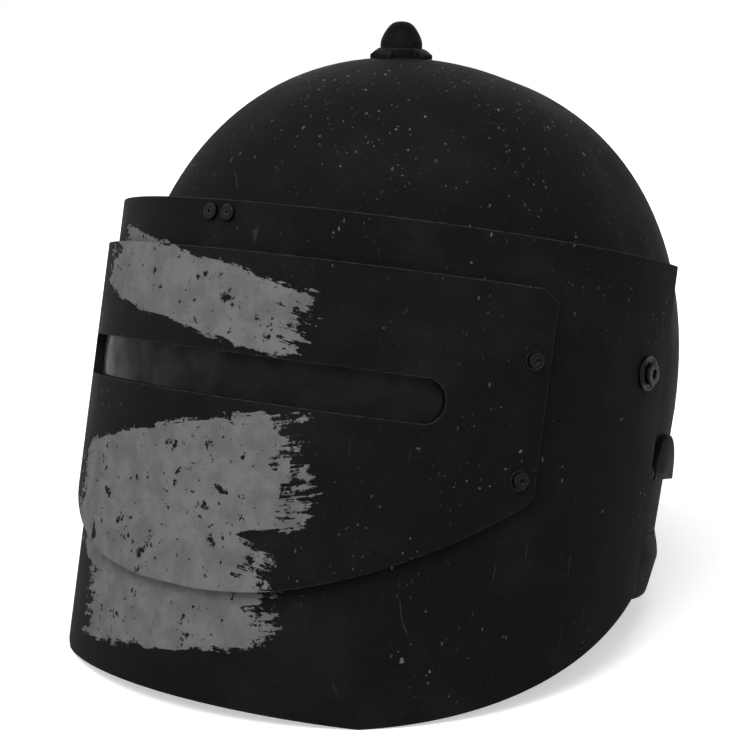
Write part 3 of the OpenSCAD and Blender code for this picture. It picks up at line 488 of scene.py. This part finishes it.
# The spring is one coil of 0.8 mm wire with closed ends
COIL_R, WIRE_R, COIL_LOW, COIL_HIGH, TURNS = 5.1, 0.4, 0.9, 8.8, 4.5
bm = bmesh.new()
wire = bmesh.ops.create_circle(bm, cap_ends=True, radius=WIRE_R * MM, segments=10)["verts"]
turn_up = Matrix.Translation((COIL_R * MM, 0, COIL_LOW * MM)) @ Matrix.Rotation(math.pi / 2, 4, "X")
bmesh.ops.transform(bm, matrix=turn_up, verts=wire)
STEPS_A_TURN = 28
steps = int(TURNS * STEPS_A_TURN)
rise = (COIL_HIGH - COIL_LOW) * MM / steps
bmesh.ops.spin(bm, geom=bm.faces[:], axis=(0, 0, 1), cent=(0, 0, 0), dvec=(0, 0, rise),
               angle=math.tau * TURNS, steps=steps)
set_in(bm, ON_KNOB)
coil = show("knob_coil", bm, spring_steel, "helmet")
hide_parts("crown_knob_spring")
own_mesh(coil)


# Hearing hoods: small pressed arches riveted over the hearing holes, sprayed with the shell.
# Their lips are painted bright, partly as rubbed paint and partly as a painted highlight.
hood_paint = black_paint("satin_black_hood", "#0e0e0f", "#6c6c69", edge=0.6)
for side in ("left", "right"):
    finish_piece(side + "_hearing_hood", hood_paint, 0.35)
finish_piece("hearing_hood_rivets", rivet_steel, 0.15)


# Pivots: a steel bush, an M6 socket screw, its washer and a nut inside carry the visor on each side.
# The bush is turned bright; the rest is blackened zinc, and clamps the visor so it stays where it is put.
for name in ("pivot_washers", "pivot_screws", "pivot_nuts"):
    finish_piece(name, black_zinc, 0.18)
finish_piece("pivot_bushes", bush_steel, 0.2)


# Pads: foam in a dark knitted cover, held to the shell; one behind the brow, one at each side, one at the
# nape and one under the crown. Each is blown up as a cushion is, then sewn down along its channels.
def knitted(name, base, light, pitch):
    """A knitted cover: rows of small loops, with a soft sheen and a little fluff."""
    material, tree = new_material(name)
    spot = head_place(tree)
    rows = add(tree, "TexWave", {"Vector": spot, "Scale": per_mm(pitch) / math.tau * 0.5, "Distortion": 0.6,
                                 "Detail": 1.0, "Detail Scale": 2.0}, out="Fac", bands_direction="Z")
    loops = add(tree, "TexWave", {"Vector": spot, "Scale": per_mm(pitch * 0.8) / math.tau * 0.5,
                                  "Distortion": 0.9, "Detail": 1.0}, out="Fac", bands_direction="DIAGONAL")
    weave = add(tree, "Math", {0: rows, 1: loops}, operation="MULTIPLY")
    shade = add(tree, "TexNoise", {"Vector": spot, "Scale": per_mm(26), "Detail": 4.0})
    fading = add(tree, "MapRange", {0: shade, 1: 0.3, 2: 0.7, 3: 0.4, 4: 1.0}, **SMOOTH)
    mix = add(tree, "Math", {0: weave, 1: fading}, operation="MULTIPLY")
    colour = add(tree, "Mix", {0: mix, 6: srgb(base), 7: srgb(light)}, out=2, data_type="RGBA")
    bump = add(tree, "Bump", {"Height": weave, "Strength": 0.5, "Distance": 0.4 * MM})
    shader = add(tree, "BsdfPrincipled", {"Base Color": colour, "Roughness": 0.9, "Normal": bump,
                                          "Sheen Weight": 0.35, "Sheen Roughness": 0.5,
                                          "Specular IOR Level": 0.2})
    add(tree, "OutputMaterial", {"Surface": shader})
    return material


pad_fabric = knitted("knitted_pad_cover", "#1b1c1e", "#3c3e42", 1.3)
PAD_VOXEL, PAD_INSET, PAD_CAP, PAD_TICKS, PAD_PRESSURE = 4.5 * MM, 2.2 * MM, 2.6 * MM, 20, 4


def as_shaped(piece):
    """The mesh of a piece as its modifiers shape it."""
    return bpy.data.meshes.new_from_object(piece.evaluated_get(bpy.context.evaluated_depsgraph_get()))


def blown_up(name, source):
    """The source mesh, drawn in a little, remeshed, and swollen as cloth with pressure, each point's move
    capped."""
    bm = bmesh.new()
    bm.from_mesh(source)
    bmesh.ops.remove_doubles(bm, verts=bm.verts, dist=0.01 * MM)
    bm.normal_update()
    for v in bm.verts:
        v.co -= v.normal * PAD_INSET
    mesh = bpy.data.meshes.new(name)
    bm.to_mesh(mesh)
    bm.free()
    pad = bpy.data.objects.new(name, mesh)
    scene.collection.objects.link(pad)
    remesh = pad.modifiers.new("even", "REMESH")
    remesh.mode, remesh.voxel_size = "VOXEL", PAD_VOXEL
    pad.data = as_shaped(pad)
    pad.modifiers.clear()
    start = [v.co.copy() for v in pad.data.vertices]
    cloth = pad.modifiers.new("blown", "CLOTH")
    cloth.settings.use_pressure = True
    cloth.settings.uniform_pressure_force = PAD_PRESSURE
    cloth.settings.effector_weights.gravity = 0
    cloth.settings.quality = 5
    for tick in range(1, PAD_TICKS + 1):
        scene.frame_set(tick)
    swollen = as_shaped(pad)
    pad.modifiers.clear()
    pad.data = swollen
    for v, from_here in zip(pad.data.vertices, start):
        move = v.co - from_here
        if move.length > PAD_CAP:
            v.co = from_here + move.normalized() * PAD_CAP
    scene.frame_set(1)
    bm = bmesh.new()
    bm.from_mesh(pad.data)
    evenly = {"factor": 0.5, "use_axis_x": True, "use_axis_y": True, "use_axis_z": True}
    bmesh.ops.smooth_vert(bm, verts=bm.verts, **evenly)
    for full in (0.6, 0.0):
        bmesh.ops.subdivide_edges(bm, edges=bm.edges, cuts=1, use_grid_fill=True, smooth=full)
        bmesh.ops.smooth_vert(bm, verts=bm.verts, **evenly)
    bm.to_mesh(pad.data)
    bm.free()
    pad.data.shade_smooth()
    return pad


# A pad's inner face looks back at the head by at least this share
CHANNEL_DEEP, CHANNEL_WIDE, INNER_FACE = 2.0 * MM, 1.7 * MM, -0.3


def sewn(pad, centre, heights, angles):
    """Draws the inner face outward along sewn channels: rings at some heights, uprights at some angles."""
    for v in pad.data.vertices:
        p = HEAD_BACK @ v.co - centre
        reach = Vector((p.x, p.y)).length
        out = Vector((p.x, p.y, 0)).normalized()
        facing = (HEAD_BACK.to_3x3() @ v.normal).dot(out)
        if facing > INNER_FACE:
            continue
        angle = math.atan2(p.x, p.y)
        near = [abs(p.z - h) for h in heights] + [abs(angle - a) * reach for a in angles]
        close = min(near) / CHANNEL_WIDE
        v.co += HEAD.to_3x3() @ out * CHANNEL_DEEP * math.exp(-close * close) * min(1, -facing)


FRONT_CENTRE, REAR_CENTRE = Vector((0, SHELL_FRONT, 0)), Vector((0, SHELL_REAR, 0))
# Each pad with the middle of its curve, the heights of its level channels and the angles of its upright ones
pads = [("brow_pad", FRONT_CENTRE, [43 * MM], [math.pi - 0.35, 0.35 - math.pi]),
        ("left_side_pad", REAR_CENTRE, [14 * MM], [math.pi / 2 - 0.3]),
        ("right_side_pad", REAR_CENTRE, [14 * MM], [0.3 - math.pi / 2]),
        ("nape_pad", REAR_CENTRE, [-26 * MM], [-0.3, 0.3])]
for name, centre, heights, angles in pads:
    pad = blown_up(name + "_cover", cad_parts[name].data)
    sewn(pad, centre, heights, angles)
    pad.data.materials.append(pad_fabric)
    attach(pad, "helmet")
    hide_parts(name)

# The crown pad is sewn along a ring and six spokes
crown = blown_up("crown_pad_cover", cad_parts["crown_pad"].data)
crown_axis, RING_R, SPOKE = Vector((0, 12 * MM, 0)), 30 * MM, math.pi / 3
for v in crown.data.vertices:
    p = HEAD_BACK @ v.co - crown_axis
    if (HEAD_BACK.to_3x3() @ v.normal).z > INNER_FACE:
        continue
    spread = Vector((p.x, p.y)).length
    angle = math.atan2(p.y, p.x)
    off = abs(((angle / SPOKE + 0.5) % 1) - 0.5) * SPOKE * spread
    close = min(off, abs(spread - RING_R)) / CHANNEL_WIDE
    v.co += HEAD.to_3x3() @ Vector((0, 0, CHANNEL_DEEP * math.exp(-close * close)))
crown.data.materials.append(pad_fabric)
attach(crown, "helmet")
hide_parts("crown_pad")


# Head band: a strip of brown leather on the pads, darkened by wear, with a row of stitches near each edge.
# It is spun from its section, with rolled edges, round two half circles and drawn out straight between them.
def worn_leather(name, base, dark):
    """Vegetable-tanned leather: fine grain, creases, and darker where it has been handled."""
    material, tree = new_material(name)
    spot = head_place(tree)
    grain = add(tree, "TexVoronoi", {"Vector": spot, "Scale": per_mm(1.1)}, feature="DISTANCE_TO_EDGE")
    stain = add(tree, "TexNoise", {"Vector": spot, "Scale": per_mm(18), "Detail": 6.0, "Roughness": 0.6})
    crease = add(tree, "TexNoise", {"Vector": spot, "Scale": per_mm(6), "Detail": 3.0, "Distortion": 1.2})
    handled = add(tree, "MapRange", {0: stain, 1: 0.35, 2: 0.68}, **SMOOTH)
    colour = add(tree, "Mix", {0: handled, 6: srgb(base), 7: srgb(dark)}, out=2, data_type="RGBA")
    off_level = add(tree, "Math", {0: add(tree, "Math", {0: crease, 1: 0.5}, operation="SUBTRACT")},
                    operation="ABSOLUTE")
    lines = add(tree, "MapRange", {0: off_level, 1: 0.0, 2: 0.02}, **SMOOTH)
    pebbles = add(tree, "MapRange", {0: grain, 1: 0, 2: 0.25}, **SMOOTH)
    height = add(tree, "Math", {0: pebbles, 1: lines}, operation="MULTIPLY")
    bump = add(tree, "Bump", {"Height": height, "Strength": 0.35, "Distance": 0.2 * MM})
    rough = add(tree, "MapRange", {0: stain, 1: 0.3, 2: 0.7, 3: 0.62, 4: 0.42}, **SMOOTH)
    shader = add(tree, "BsdfPrincipled", {"Base Color": colour, "Roughness": rough, "Normal": bump,
                                          "Specular IOR Level": 0.4})
    add(tree, "OutputMaterial", {"Surface": shader})
    return material


leather = worn_leather("worn_brown_leather", "#5b3b25", "#2c1a10")
# The band runs round two half circles, whose middles lie at BAND_FRONT and BAND_REAR
BAND_FRONT, BAND_REAR = 11 * MM, 21 * MM
band_section = [(99.5, -5.7), (98.9, -6), (98.1, -5.9), (97.6, -5.4), (97.45, -4.4), (97.42, -3),
                (97.45, -1.8), (97.62, -1.1), (97.8, -0.2), (97.84, 1.5), (97.8, 5), (97.78, 9), (97.8, 13),
                (97.84, 16.5), (97.8, 18.2), (97.62, 19.1), (97.45, 19.8), (97.42, 21), (97.45, 22.4),
                (97.6, 23.4), (98.1, 23.9), (98.9, 24), (99.5, 23.7), (99.62, 22.5), (99.62, 9),
                (99.62, -4.5)]
bm = bmesh.new()
ring = [bm.verts.new((r * MM, BAND_FRONT, z * MM)) for r, z in band_section]
last = ring + [bm.edges.new(pair) for pair in zip(ring, ring[1:] + ring[:1])]
for middle, shift in ((BAND_FRONT, BAND_REAR - BAND_FRONT), (BAND_REAR, BAND_FRONT - BAND_REAR)):
    last = bmesh.ops.spin(bm, geom=last, axis=(0, 0, 1), cent=(0, middle, 0), angle=-math.pi,
                          steps=60)["geom_last"]
    open_edges = [e for e in last if isinstance(e, bmesh.types.BMEdge)]
    last = bmesh.ops.extrude_edge_only(bm, edges=open_edges)["geom"]
    last = [e for e in last if not isinstance(e, bmesh.types.BMFace)]
    bmesh.ops.translate(bm, vec=(0, shift, 0), verts=[v for v in last if isinstance(v, bmesh.types.BMVert)])
bmesh.ops.remove_doubles(bm, verts=bm.verts, dist=0.01 * MM)
set_in(bm, HEAD)
band = show("leather_band", bm, leather, "helmet", smooth=60)
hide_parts("head_band")

# The stitches are waxed linen thread, a little uneven in shade
thread, tree = new_material("waxed_thread")
shade = add(tree, "TexNoise", {"Vector": head_place(tree), "Scale": per_mm(1.5)})
colour = add(tree, "Mix", {0: shade, 6: srgb("#8d8468"), 7: srgb("#5f5941")}, out=2, data_type="RGBA")
shader = add(tree, "BsdfPrincipled", {"Base Color": colour, "Roughness": 0.6})
add(tree, "OutputMaterial", {"Surface": shader})


def stitches(name, places, radius, length):
    """Short rounded stitches: each place is a matrix whose X runs along the stitch."""
    bm = bmesh.new()
    slim = Matrix.Diagonal((length / 2 * MM, radius * MM, radius * MM, 1))
    for place in places:
        bmesh.ops.create_icosphere(bm, subdivisions=1, radius=1, matrix=place @ slim)
    bmesh.ops.recalc_face_normals(bm, faces=bm.faces)
    return show(name, bm, thread, "helmet", smooth=80)


BAND_INSIDE, BAND_STITCHES = 97.32 * MM, 150
rows = []
for z in (-3 * MM, 21 * MM):
    for k in range(BAND_STITCHES):
        a = math.tau * k / BAND_STITCHES
        middle = BAND_FRONT if math.sin(a) < 0 else BAND_REAR
        place = Matrix.Translation((BAND_INSIDE * math.cos(a), middle + BAND_INSIDE * math.sin(a), z))
        rows.append(HEAD @ place @ Matrix.Rotation(a + math.pi / 2, 4, "Z"))
stitches("head_band_stitches", rows, 0.35, 2.8)


# Chin strap anchors: punched plates of blackened zinc, where the webbing is looped.
# Each is riveted through the shell's side, inside the rim.
for side in ("left", "right"):
    finish_piece(side + "_strap_anchor", black_zinc, 0.25)
finish_piece("strap_rivets", rivet_steel, 0.2)


# Chin straps: 20 mm olive webbing, 2 mm thick, from each anchor down to the chin cup.
# Each is a flat woven ribbon that turns a little as it runs, with a bar of stitches at both ends.
def woven_webbing(name, base, light, dark):
    """Webbing in a herringbone of 1.2 mm yarns, drawn on its own run and width in millimetres."""
    material, tree = new_material(name)
    run = add(tree, "UVMap", uv_map="run")
    along, across = [add(tree, "SeparateXYZ", {0: run}, out=k) for k in (0, 1)]
    folded = add(tree, "Math", {0: across, 1: 5.0}, operation="PINGPONG")
    slant = add(tree, "Math", {0: along, 1: folded}, operation="ADD")
    yarn, rib = [add(tree, "Math", {0: add(tree, "Math", {0: way, 1: half}, operation="PINGPONG"), 1: half},
                     operation="DIVIDE") for way, half in ((slant, 1.2), (across, 0.625))]
    raised = add(tree, "MapRange", {0: yarn, 1: 0.1, 2: 0.75}, **SMOOTH)
    ribbed = add(tree, "MapRange", {0: rib, 1: 0.0, 2: 0.6, 3: 0.35, 4: 1.0}, **SMOOTH)
    weave = add(tree, "Math", {0: raised, 1: ribbed}, operation="MULTIPLY")
    soil = add(tree, "TexNoise", {"Vector": head_place(tree), "Scale": per_mm(14), "Detail": 4.0})
    faded = add(tree, "MapRange", {0: soil, 1: 0.5, 2: 0.75, 3: 0, 4: 0.5}, **SMOOTH)
    colour = add(tree, "Mix", {0: weave, 6: srgb(dark), 7: srgb(base)}, out=2, data_type="RGBA")
    colour = add(tree, "Mix", {0: faded, 6: colour, 7: srgb(light)}, out=2, data_type="RGBA")
    bump = add(tree, "Bump", {"Height": weave, "Strength": 0.6, "Distance": 0.25 * MM})
    shader = add(tree, "BsdfPrincipled", {"Base Color": colour, "Roughness": 0.85, "Normal": bump,
                                          "Sheen Weight": 0.2, "Specular IOR Level": 0.25})
    add(tree, "OutputMaterial", {"Surface": shader})
    return material


webbing = woven_webbing("woven_webbing", "#55563c", "#6b6a55", "#26271b")
STRAP_W, STRAP_T, STRAP_RUN = 20 * MM, 2 * MM, 178 * MM
# Stops of the webbing's middle in millimetres, each with its turn about the upright in degrees
strap_stops = [(Vector((118.1, 4, -62)), -8), (Vector((110.5, -6, -68)), -36.6),
               (Vector((86, -39, -87)), -36.6), (Vector((29.1, -64.4, -102)), -42),
               (Vector((9.5, -75.7, -104)), -75)]


def strap_at(t):
    """Place and turn of the webbing a share t of the way along its stops."""
    s = t * (len(strap_stops) - 1)
    i = min(int(s), len(strap_stops) - 2)
    (a, turn_a), (b, turn_b) = strap_stops[i], strap_stops[i + 1]
    f = s - i
    ease = f * f * (3 - 2 * f)
    return a.lerp(b, f) * MM, math.radians(turn_a + (turn_b - turn_a) * ease)


def strap_ribbon(side, mirrored):
    """One side's webbing: a flat grid laid along the stops, a little full in its middle, and given its
    thickness."""
    bm = bmesh.new()
    bm.loops.layers.uv.new("run")
    bmesh.ops.create_grid(bm, x_segments=120, y_segments=12, size=0.5, calc_uvs=True)
    run = bm.loops.layers.uv["run"]
    for face in bm.faces:
        for loop in face.loops:
            loop[run].uv = ((loop.vert.co.x + 0.5) * STRAP_RUN / MM, (loop.vert.co.y + 0.5) * STRAP_W / MM)
    for v in bm.verts:
        place, turn = strap_at(v.co.x + 0.5)
        crown = STRAP_T * 0.5 * (1 - (2 * v.co.y) ** 6) * 0.12
        v.co = place + Vector((crown * math.cos(turn), crown * math.sin(turn), v.co.y * STRAP_W))
    bmesh.ops.recalc_face_normals(bm, faces=bm.faces)
    bmesh.ops.solidify(bm, geom=bm.faces[:], thickness=STRAP_T * 0.9)
    for v in bm.verts:
        v.co.x -= STRAP_T * 0.4
    if mirrored:
        bmesh.ops.scale(bm, vec=(-1, 1, 1), verts=bm.verts)
    set_in(bm, HEAD)
    ribbon = show(side + "_webbing", bm, webbing, "helmet", smooth=50)
    edge = ribbon.modifiers.new("soft_edge", "BEVEL")
    edge.width, edge.segments, edge.limit_method = 0.4 * MM, 2, "ANGLE"
    return ribbon


# Two rows of stitches across the webbing near its anchor and two near the cup, on its inner face
ROWS_AT, ROW_STITCHES, ROW_PITCH, INNER_SIDE = (0.055, 0.075, 0.93, 0.95), 7, 2.5 * MM, 1.25 * MM
for side, mirrored in (("left", False), ("right", True)):
    ribbon = strap_ribbon(side, mirrored)
    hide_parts(side + "_chin_strap")
    bar = []
    for t in ROWS_AT:
        place, turn = strap_at(t)
        for k in range(ROW_STITCHES):
            spot = Matrix.Translation(place + Vector((0, 0, (k - (ROW_STITCHES - 1) / 2) * ROW_PITCH)))
            inner = spot @ Matrix.Rotation(turn, 4, "Z") @ Matrix.Translation((-INNER_SIDE, 0, 0))
            bar.append(inner @ Matrix.Rotation(math.pi / 2, 4, "Y"))
    flip = Matrix.Diagonal((-1 if mirrored else 1, 1, 1, 1))
    stitches(side + "_strap_stitches", [HEAD @ flip @ b for b in bar], 0.3, 1.9)

# The buckle is a rectangular frame of painted steel that the left strap threads through
buckle_paint = black_paint("black_buckle_paint", "#131314", "#7a7a78", edge=0.8)
finish_piece("chin_strap_buckle", buckle_paint, 0.5)


# Chin cup: a moulded leather cup, with a folded rim and a row of stitches inside it.
# It is turned as a bowl with its lining, and the two webbings hold it by its rim.
cup_leather = worn_leather("worn_cup_leather", "#4a3020", "#25160e")
CUP_AT, CUP_R = Vector((0, -40, -104)) * MM, 34.3 * MM
BOWL_R, LINING_R = 34, 31.2


def bowl_section(radius, angles):
    """Points of a bowl's section, in millimetres, at angles in degrees from its lowest point."""
    return [(radius * math.sin(math.radians(a)), -radius * math.cos(math.radians(a))) for a in angles]


cup_rim = [(34.1, -4.6), (34.5, -3.4), (34.65, -2), (34.4, -0.8), (33.6, -0.15), (32.5, 0), (31.3, -0.25),
           (30.6, -1.1), (30.45, -2.4), (30.8, -3.6), (31.05, -4.8)]
cup_bowl, cup_lining = bowl_section(BOWL_R, range(0, 81, 5)), bowl_section(LINING_R, range(80, -1, -5))
bm = turned(cup_bowl + cup_rim + cup_lining, Matrix.Identity(4), 80)
# Its back is cut off flat, towards the throat, and closed
CUP_BACK = 12 * MM
bmesh.ops.bisect_plane(bm, geom=bm.verts[:] + bm.edges[:] + bm.faces[:], dist=0.001 * MM,
                       plane_co=(0, CUP_BACK, 0), plane_no=(0, 1, 0), clear_outer=True)
close_ends(bm, 0.9)
set_in(bm, HEAD @ Matrix.Translation(CUP_AT))
cup = show("leather_cup", bm, cup_leather, "helmet", smooth=50)
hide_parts("chin_cup")
CUP_STITCHES, STITCHES_DOWN = 46, 4 * MM
rim = []
for k in range(CUP_STITCHES):
    a = math.radians(-205 + 230 * k / (CUP_STITCHES - 1))
    place = Matrix.Translation(CUP_AT + Vector((CUP_R * math.cos(a), CUP_R * math.sin(a), -STITCHES_DOWN)))
    if CUP_R * math.sin(a) < CUP_BACK - 2 * MM:
        rim.append(HEAD @ place @ Matrix.Rotation(a + math.pi / 2, 4, "Z"))
stitches("chin_cup_stitches", rim, 0.4, 2.8)


# Visor: a bent 2.2 mm steel wall, sprayed like the shell.
# Its top and chin edges carry a pale line, partly rubbed paint and partly a painted highlight.
# Faded grey brush strokes cross its front, worn through in flakes.
BRUSH_R = 132 * MM


def brush_stroke(tree, spot, around, height, centre, slope, half_long, half_wide):
    """One stroke of a wide dry brush, in millimetres on the unrolled front: full in its middle, and broken up
    into bristle marks where the paint ran out."""
    c, s = math.cos(math.radians(slope)), math.sin(math.radians(slope))
    # From the stroke's centre, first round and up, then along and across the stroke
    du = add(tree, "Math", {0: around, 1: centre[0] * MM}, operation="SUBTRACT")
    dv = add(tree, "Math", {0: height, 1: centre[1] * MM}, operation="SUBTRACT")
    along = add(tree, "Math", {0: add(tree, "Math", {0: du, 1: c}, operation="MULTIPLY"),
                               1: add(tree, "Math", {0: dv, 1: s}, operation="MULTIPLY")}, operation="ADD")
    across = add(tree, "Math", {0: add(tree, "Math", {0: dv, 1: c}, operation="MULTIPLY"),
                                1: add(tree, "Math", {0: du, 1: s}, operation="MULTIPLY")},
                 operation="SUBTRACT")
    run = add(tree, "CombineXYZ", {0: add(tree, "Math", {0: along, 1: 0.12}, operation="MULTIPLY"), 1: across,
                                   2: slope * MM})
    streaks = add(tree, "TexNoise", {"Vector": run, "Scale": per_mm(2.2), "Detail": 4.0, "Roughness": 0.7})
    patches = add(tree, "TexNoise", {"Vector": spot, "Scale": per_mm(9), "Detail": 8.0, "Roughness": 0.74})
    bristle = add(tree, "Mix", {0: 0.55, 2: streaks, 3: patches}, data_type="FLOAT")
    from_middle = add(tree, "Math", {0: along}, operation="ABSOLUTE")
    from_line = add(tree, "Math", {0: across}, operation="ABSOLUTE")
    ends = add(tree, "MapRange", {0: from_middle, 1: half_long * MM, 2: half_long * 0.45 * MM}, **SMOOTH)
    sides = add(tree, "MapRange", {0: from_line, 1: half_wide * MM, 2: (half_wide - 7) * MM}, **SMOOTH)
    load = add(tree, "Math", {0: ends, 1: sides}, operation="MULTIPLY")
    dry = add(tree, "MapRange", {0: bristle, 1: 0.34, 2: 0.66, 3: 0.05, 4: 0.85}, **SMOOTH)
    left_over = add(tree, "Math", {0: load, 1: dry}, operation="SUBTRACT")
    return add(tree, "MapRange", {0: left_over, 1: -0.01, 2: 0.05}, **SMOOTH)


def grey_strokes(tree, spot):
    """Old grey field paint: three broad strokes lapped under the slit and one above it, flaked, with rusty
    edges."""
    x, y, height = [add(tree, "SeparateXYZ", {0: spot}, out=k) for k in (0, 1, 2)]
    ahead = add(tree, "Math", {0: y, 1: -1.0}, operation="MULTIPLY")
    angle = add(tree, "Math", {0: x, 1: ahead}, operation="ARCTAN2")
    around = add(tree, "Math", {0: angle, 1: BRUSH_R}, operation="MULTIPLY")
    # Each stroke's centre round the front and up, its slope in degrees, and half its length and width
    strokes = [((-14, -70), 13, 88, 27), ((-20, -98), -9, 82, 24), ((-8, -121), 8, 72, 19),
               ((-14, 11), -10, 80, 18)]
    masks = [brush_stroke(tree, spot, around, height, *stroke) for stroke in strokes]
    stroke = masks[0]
    for mask in masks[1:]:
        stroke = add(tree, "Math", {0: stroke, 1: mask}, operation="MAXIMUM")
    flake = add(tree, "TexNoise", {"Vector": spot, "Scale": per_mm(13), "Detail": 7.0, "Roughness": 0.68})
    pits = add(tree, "TexNoise", {"Vector": spot, "Scale": per_mm(3.4), "Detail": 4.0, "Roughness": 0.7})
    unflaked = add(tree, "MapRange", {0: flake, 1: 0.635, 2: 0.62}, **SMOOTH)
    unpitted = add(tree, "MapRange", {0: pits, 1: 0.655, 2: 0.635}, **SMOOTH)
    kept = add(tree, "Math", {0: unflaked, 1: unpitted}, operation="MULTIPLY")
    paint = add(tree, "Math", {0: stroke, 1: kept}, operation="MULTIPLY")
    # Rust creeps out round some of the flakes
    rim = add(tree, "Math", {0: add(tree, "MapRange", {0: flake, 1: 0.645, 2: 0.635}, **SMOOTH),
                             1: add(tree, "MapRange", {0: flake, 1: 0.625, 2: 0.635}, **SMOOTH)},
              operation="MULTIPLY")
    where = add(tree, "TexNoise", {"Vector": spot, "Scale": per_mm(19), "Detail": 1.0})
    rare = add(tree, "MapRange", {0: where, 1: 0.56, 2: 0.6}, **SMOOTH)
    rust = add(tree, "Math", {0: add(tree, "Math", {0: rim, 1: rare}, operation="MULTIPLY"), 1: stroke},
               operation="MULTIPLY")
    stain = add(tree, "TexNoise", {"Vector": spot, "Scale": per_mm(11), "Detail": 6.0, "Roughness": 0.62})
    cloudy = add(tree, "MapRange", {0: stain, 1: 0.36, 2: 0.64}, **SMOOTH)
    grey = add(tree, "Mix", {0: cloudy, 6: srgb("#676767"), 7: srgb("#757575")}, out=2, data_type="RGBA")
    fine = add(tree, "TexNoise", {"Vector": spot, "Scale": per_mm(1.1), "Detail": 3.0})
    worn_thin = add(tree, "MapRange", {0: fine, 1: 0.55, 2: 0.75, 3: 0, 4: 0.25}, **SMOOTH)
    grey = add(tree, "Mix", {0: worn_thin, 6: grey, 7: srgb("#4a4a4a")}, out=2, data_type="RGBA")
    ink = add(tree, "Mix", {0: rust, 6: grey, 7: srgb("#5e2420")}, out=2, data_type="RGBA")
    return add(tree, "Math", {0: paint, 1: rust}, operation="MAXIMUM"), ink


visor_paint = black_paint("satin_black_visor", "#151516", "#646462", motif=grey_strokes, edge=0.42)


def off_wall(p):
    """Outward direction of the walls bent round the visor's axis."""
    return Vector((p.x, p.y, 0)).normalized()


eased_wall("visor", visor_paint, "visor", off_wall, 0.4)


# Face plate: a second, 4 mm plate over the front of the visor, with the vision slit cut through it.
# Four socket screws hold it, each on a washer, with a nut inside the visor.
plate_paint = black_paint("satin_black_plate", "#151516", "#646462", motif=grey_strokes, edge=0.45)
eased_wall("face_plate", plate_paint, "visor", off_wall, 0.5)
for name in ("plate_screws", "plate_washers", "plate_nuts"):
    finish_piece(name, black_zinc, 0.14)


# Vision block: laminated glass in a rubber gasket, clamped from inside by a riveted steel frame.
# The glass is faintly grey-green and dark in depth, a little scuffed, and mostly covered by an uneven dark
# film.
def laminated_glass(name, tint):
    """Tinted glass with soft scuffs, mostly under an uneven dark film."""
    material, tree = new_material(name)
    spot = head_place(tree)
    scuff = add(tree, "TexNoise", {"Vector": spot, "Scale": per_mm(9), "Detail": 6.0, "Roughness": 0.7})
    rough = add(tree, "MapRange", {0: scuff, 1: 0.4, 2: 0.75, 3: 0.08, 4: 0.22}, **SMOOTH)
    shader = add(tree, "BsdfPrincipled", {"Base Color": srgb(tint), "IOR": 1.5, "Transmission Weight": 0.8,
                                          "Specular IOR Level": 0.06, "Roughness": rough})
    film = add(tree, "BsdfPrincipled", {"Base Color": srgb("#0c0c0c"), "Roughness": 0.7,
                                        "Specular IOR Level": 0.05})
    # A dark matt film covers 74 to 93 percent of the glass, unevenly
    film_noise = add(tree, "TexNoise", {"Vector": spot, "Scale": per_mm(16), "Detail": 5.0, "Roughness": 0.6})
    held = add(tree, "MapRange", {0: film_noise, 1: 0.3, 2: 0.7, 3: 0.74, 4: 0.93}, **SMOOTH)
    add(tree, "OutputMaterial", {"Surface": add(tree, "MixShader", {0: held, 1: shader, 2: film})})
    return material


glass = laminated_glass("laminated_glass", "#191d1c")
eased_wall("vision_glass", glass, "visor", off_wall, 0.3)
eased_wall("glass_gasket", rubber, "visor", off_wall, 0.2)
frame_paint = black_paint("black_frame_paint", "#101010", "#6a6a68", edge=0.5)
eased_wall("glass_frame", frame_paint, "visor", off_wall, 0.25)
finish_piece("frame_rivets", rivet_steel, 0.1)


# Visor band: two small socket screws hold a spring leaf inside the top edge.
# Its lip steadies the lifted visor.
for name in ("band_screws", "band_nuts"):
    finish_piece(name, black_zinc, 0.12)
finish_piece("visor_catch", spring_steel, 0.12)
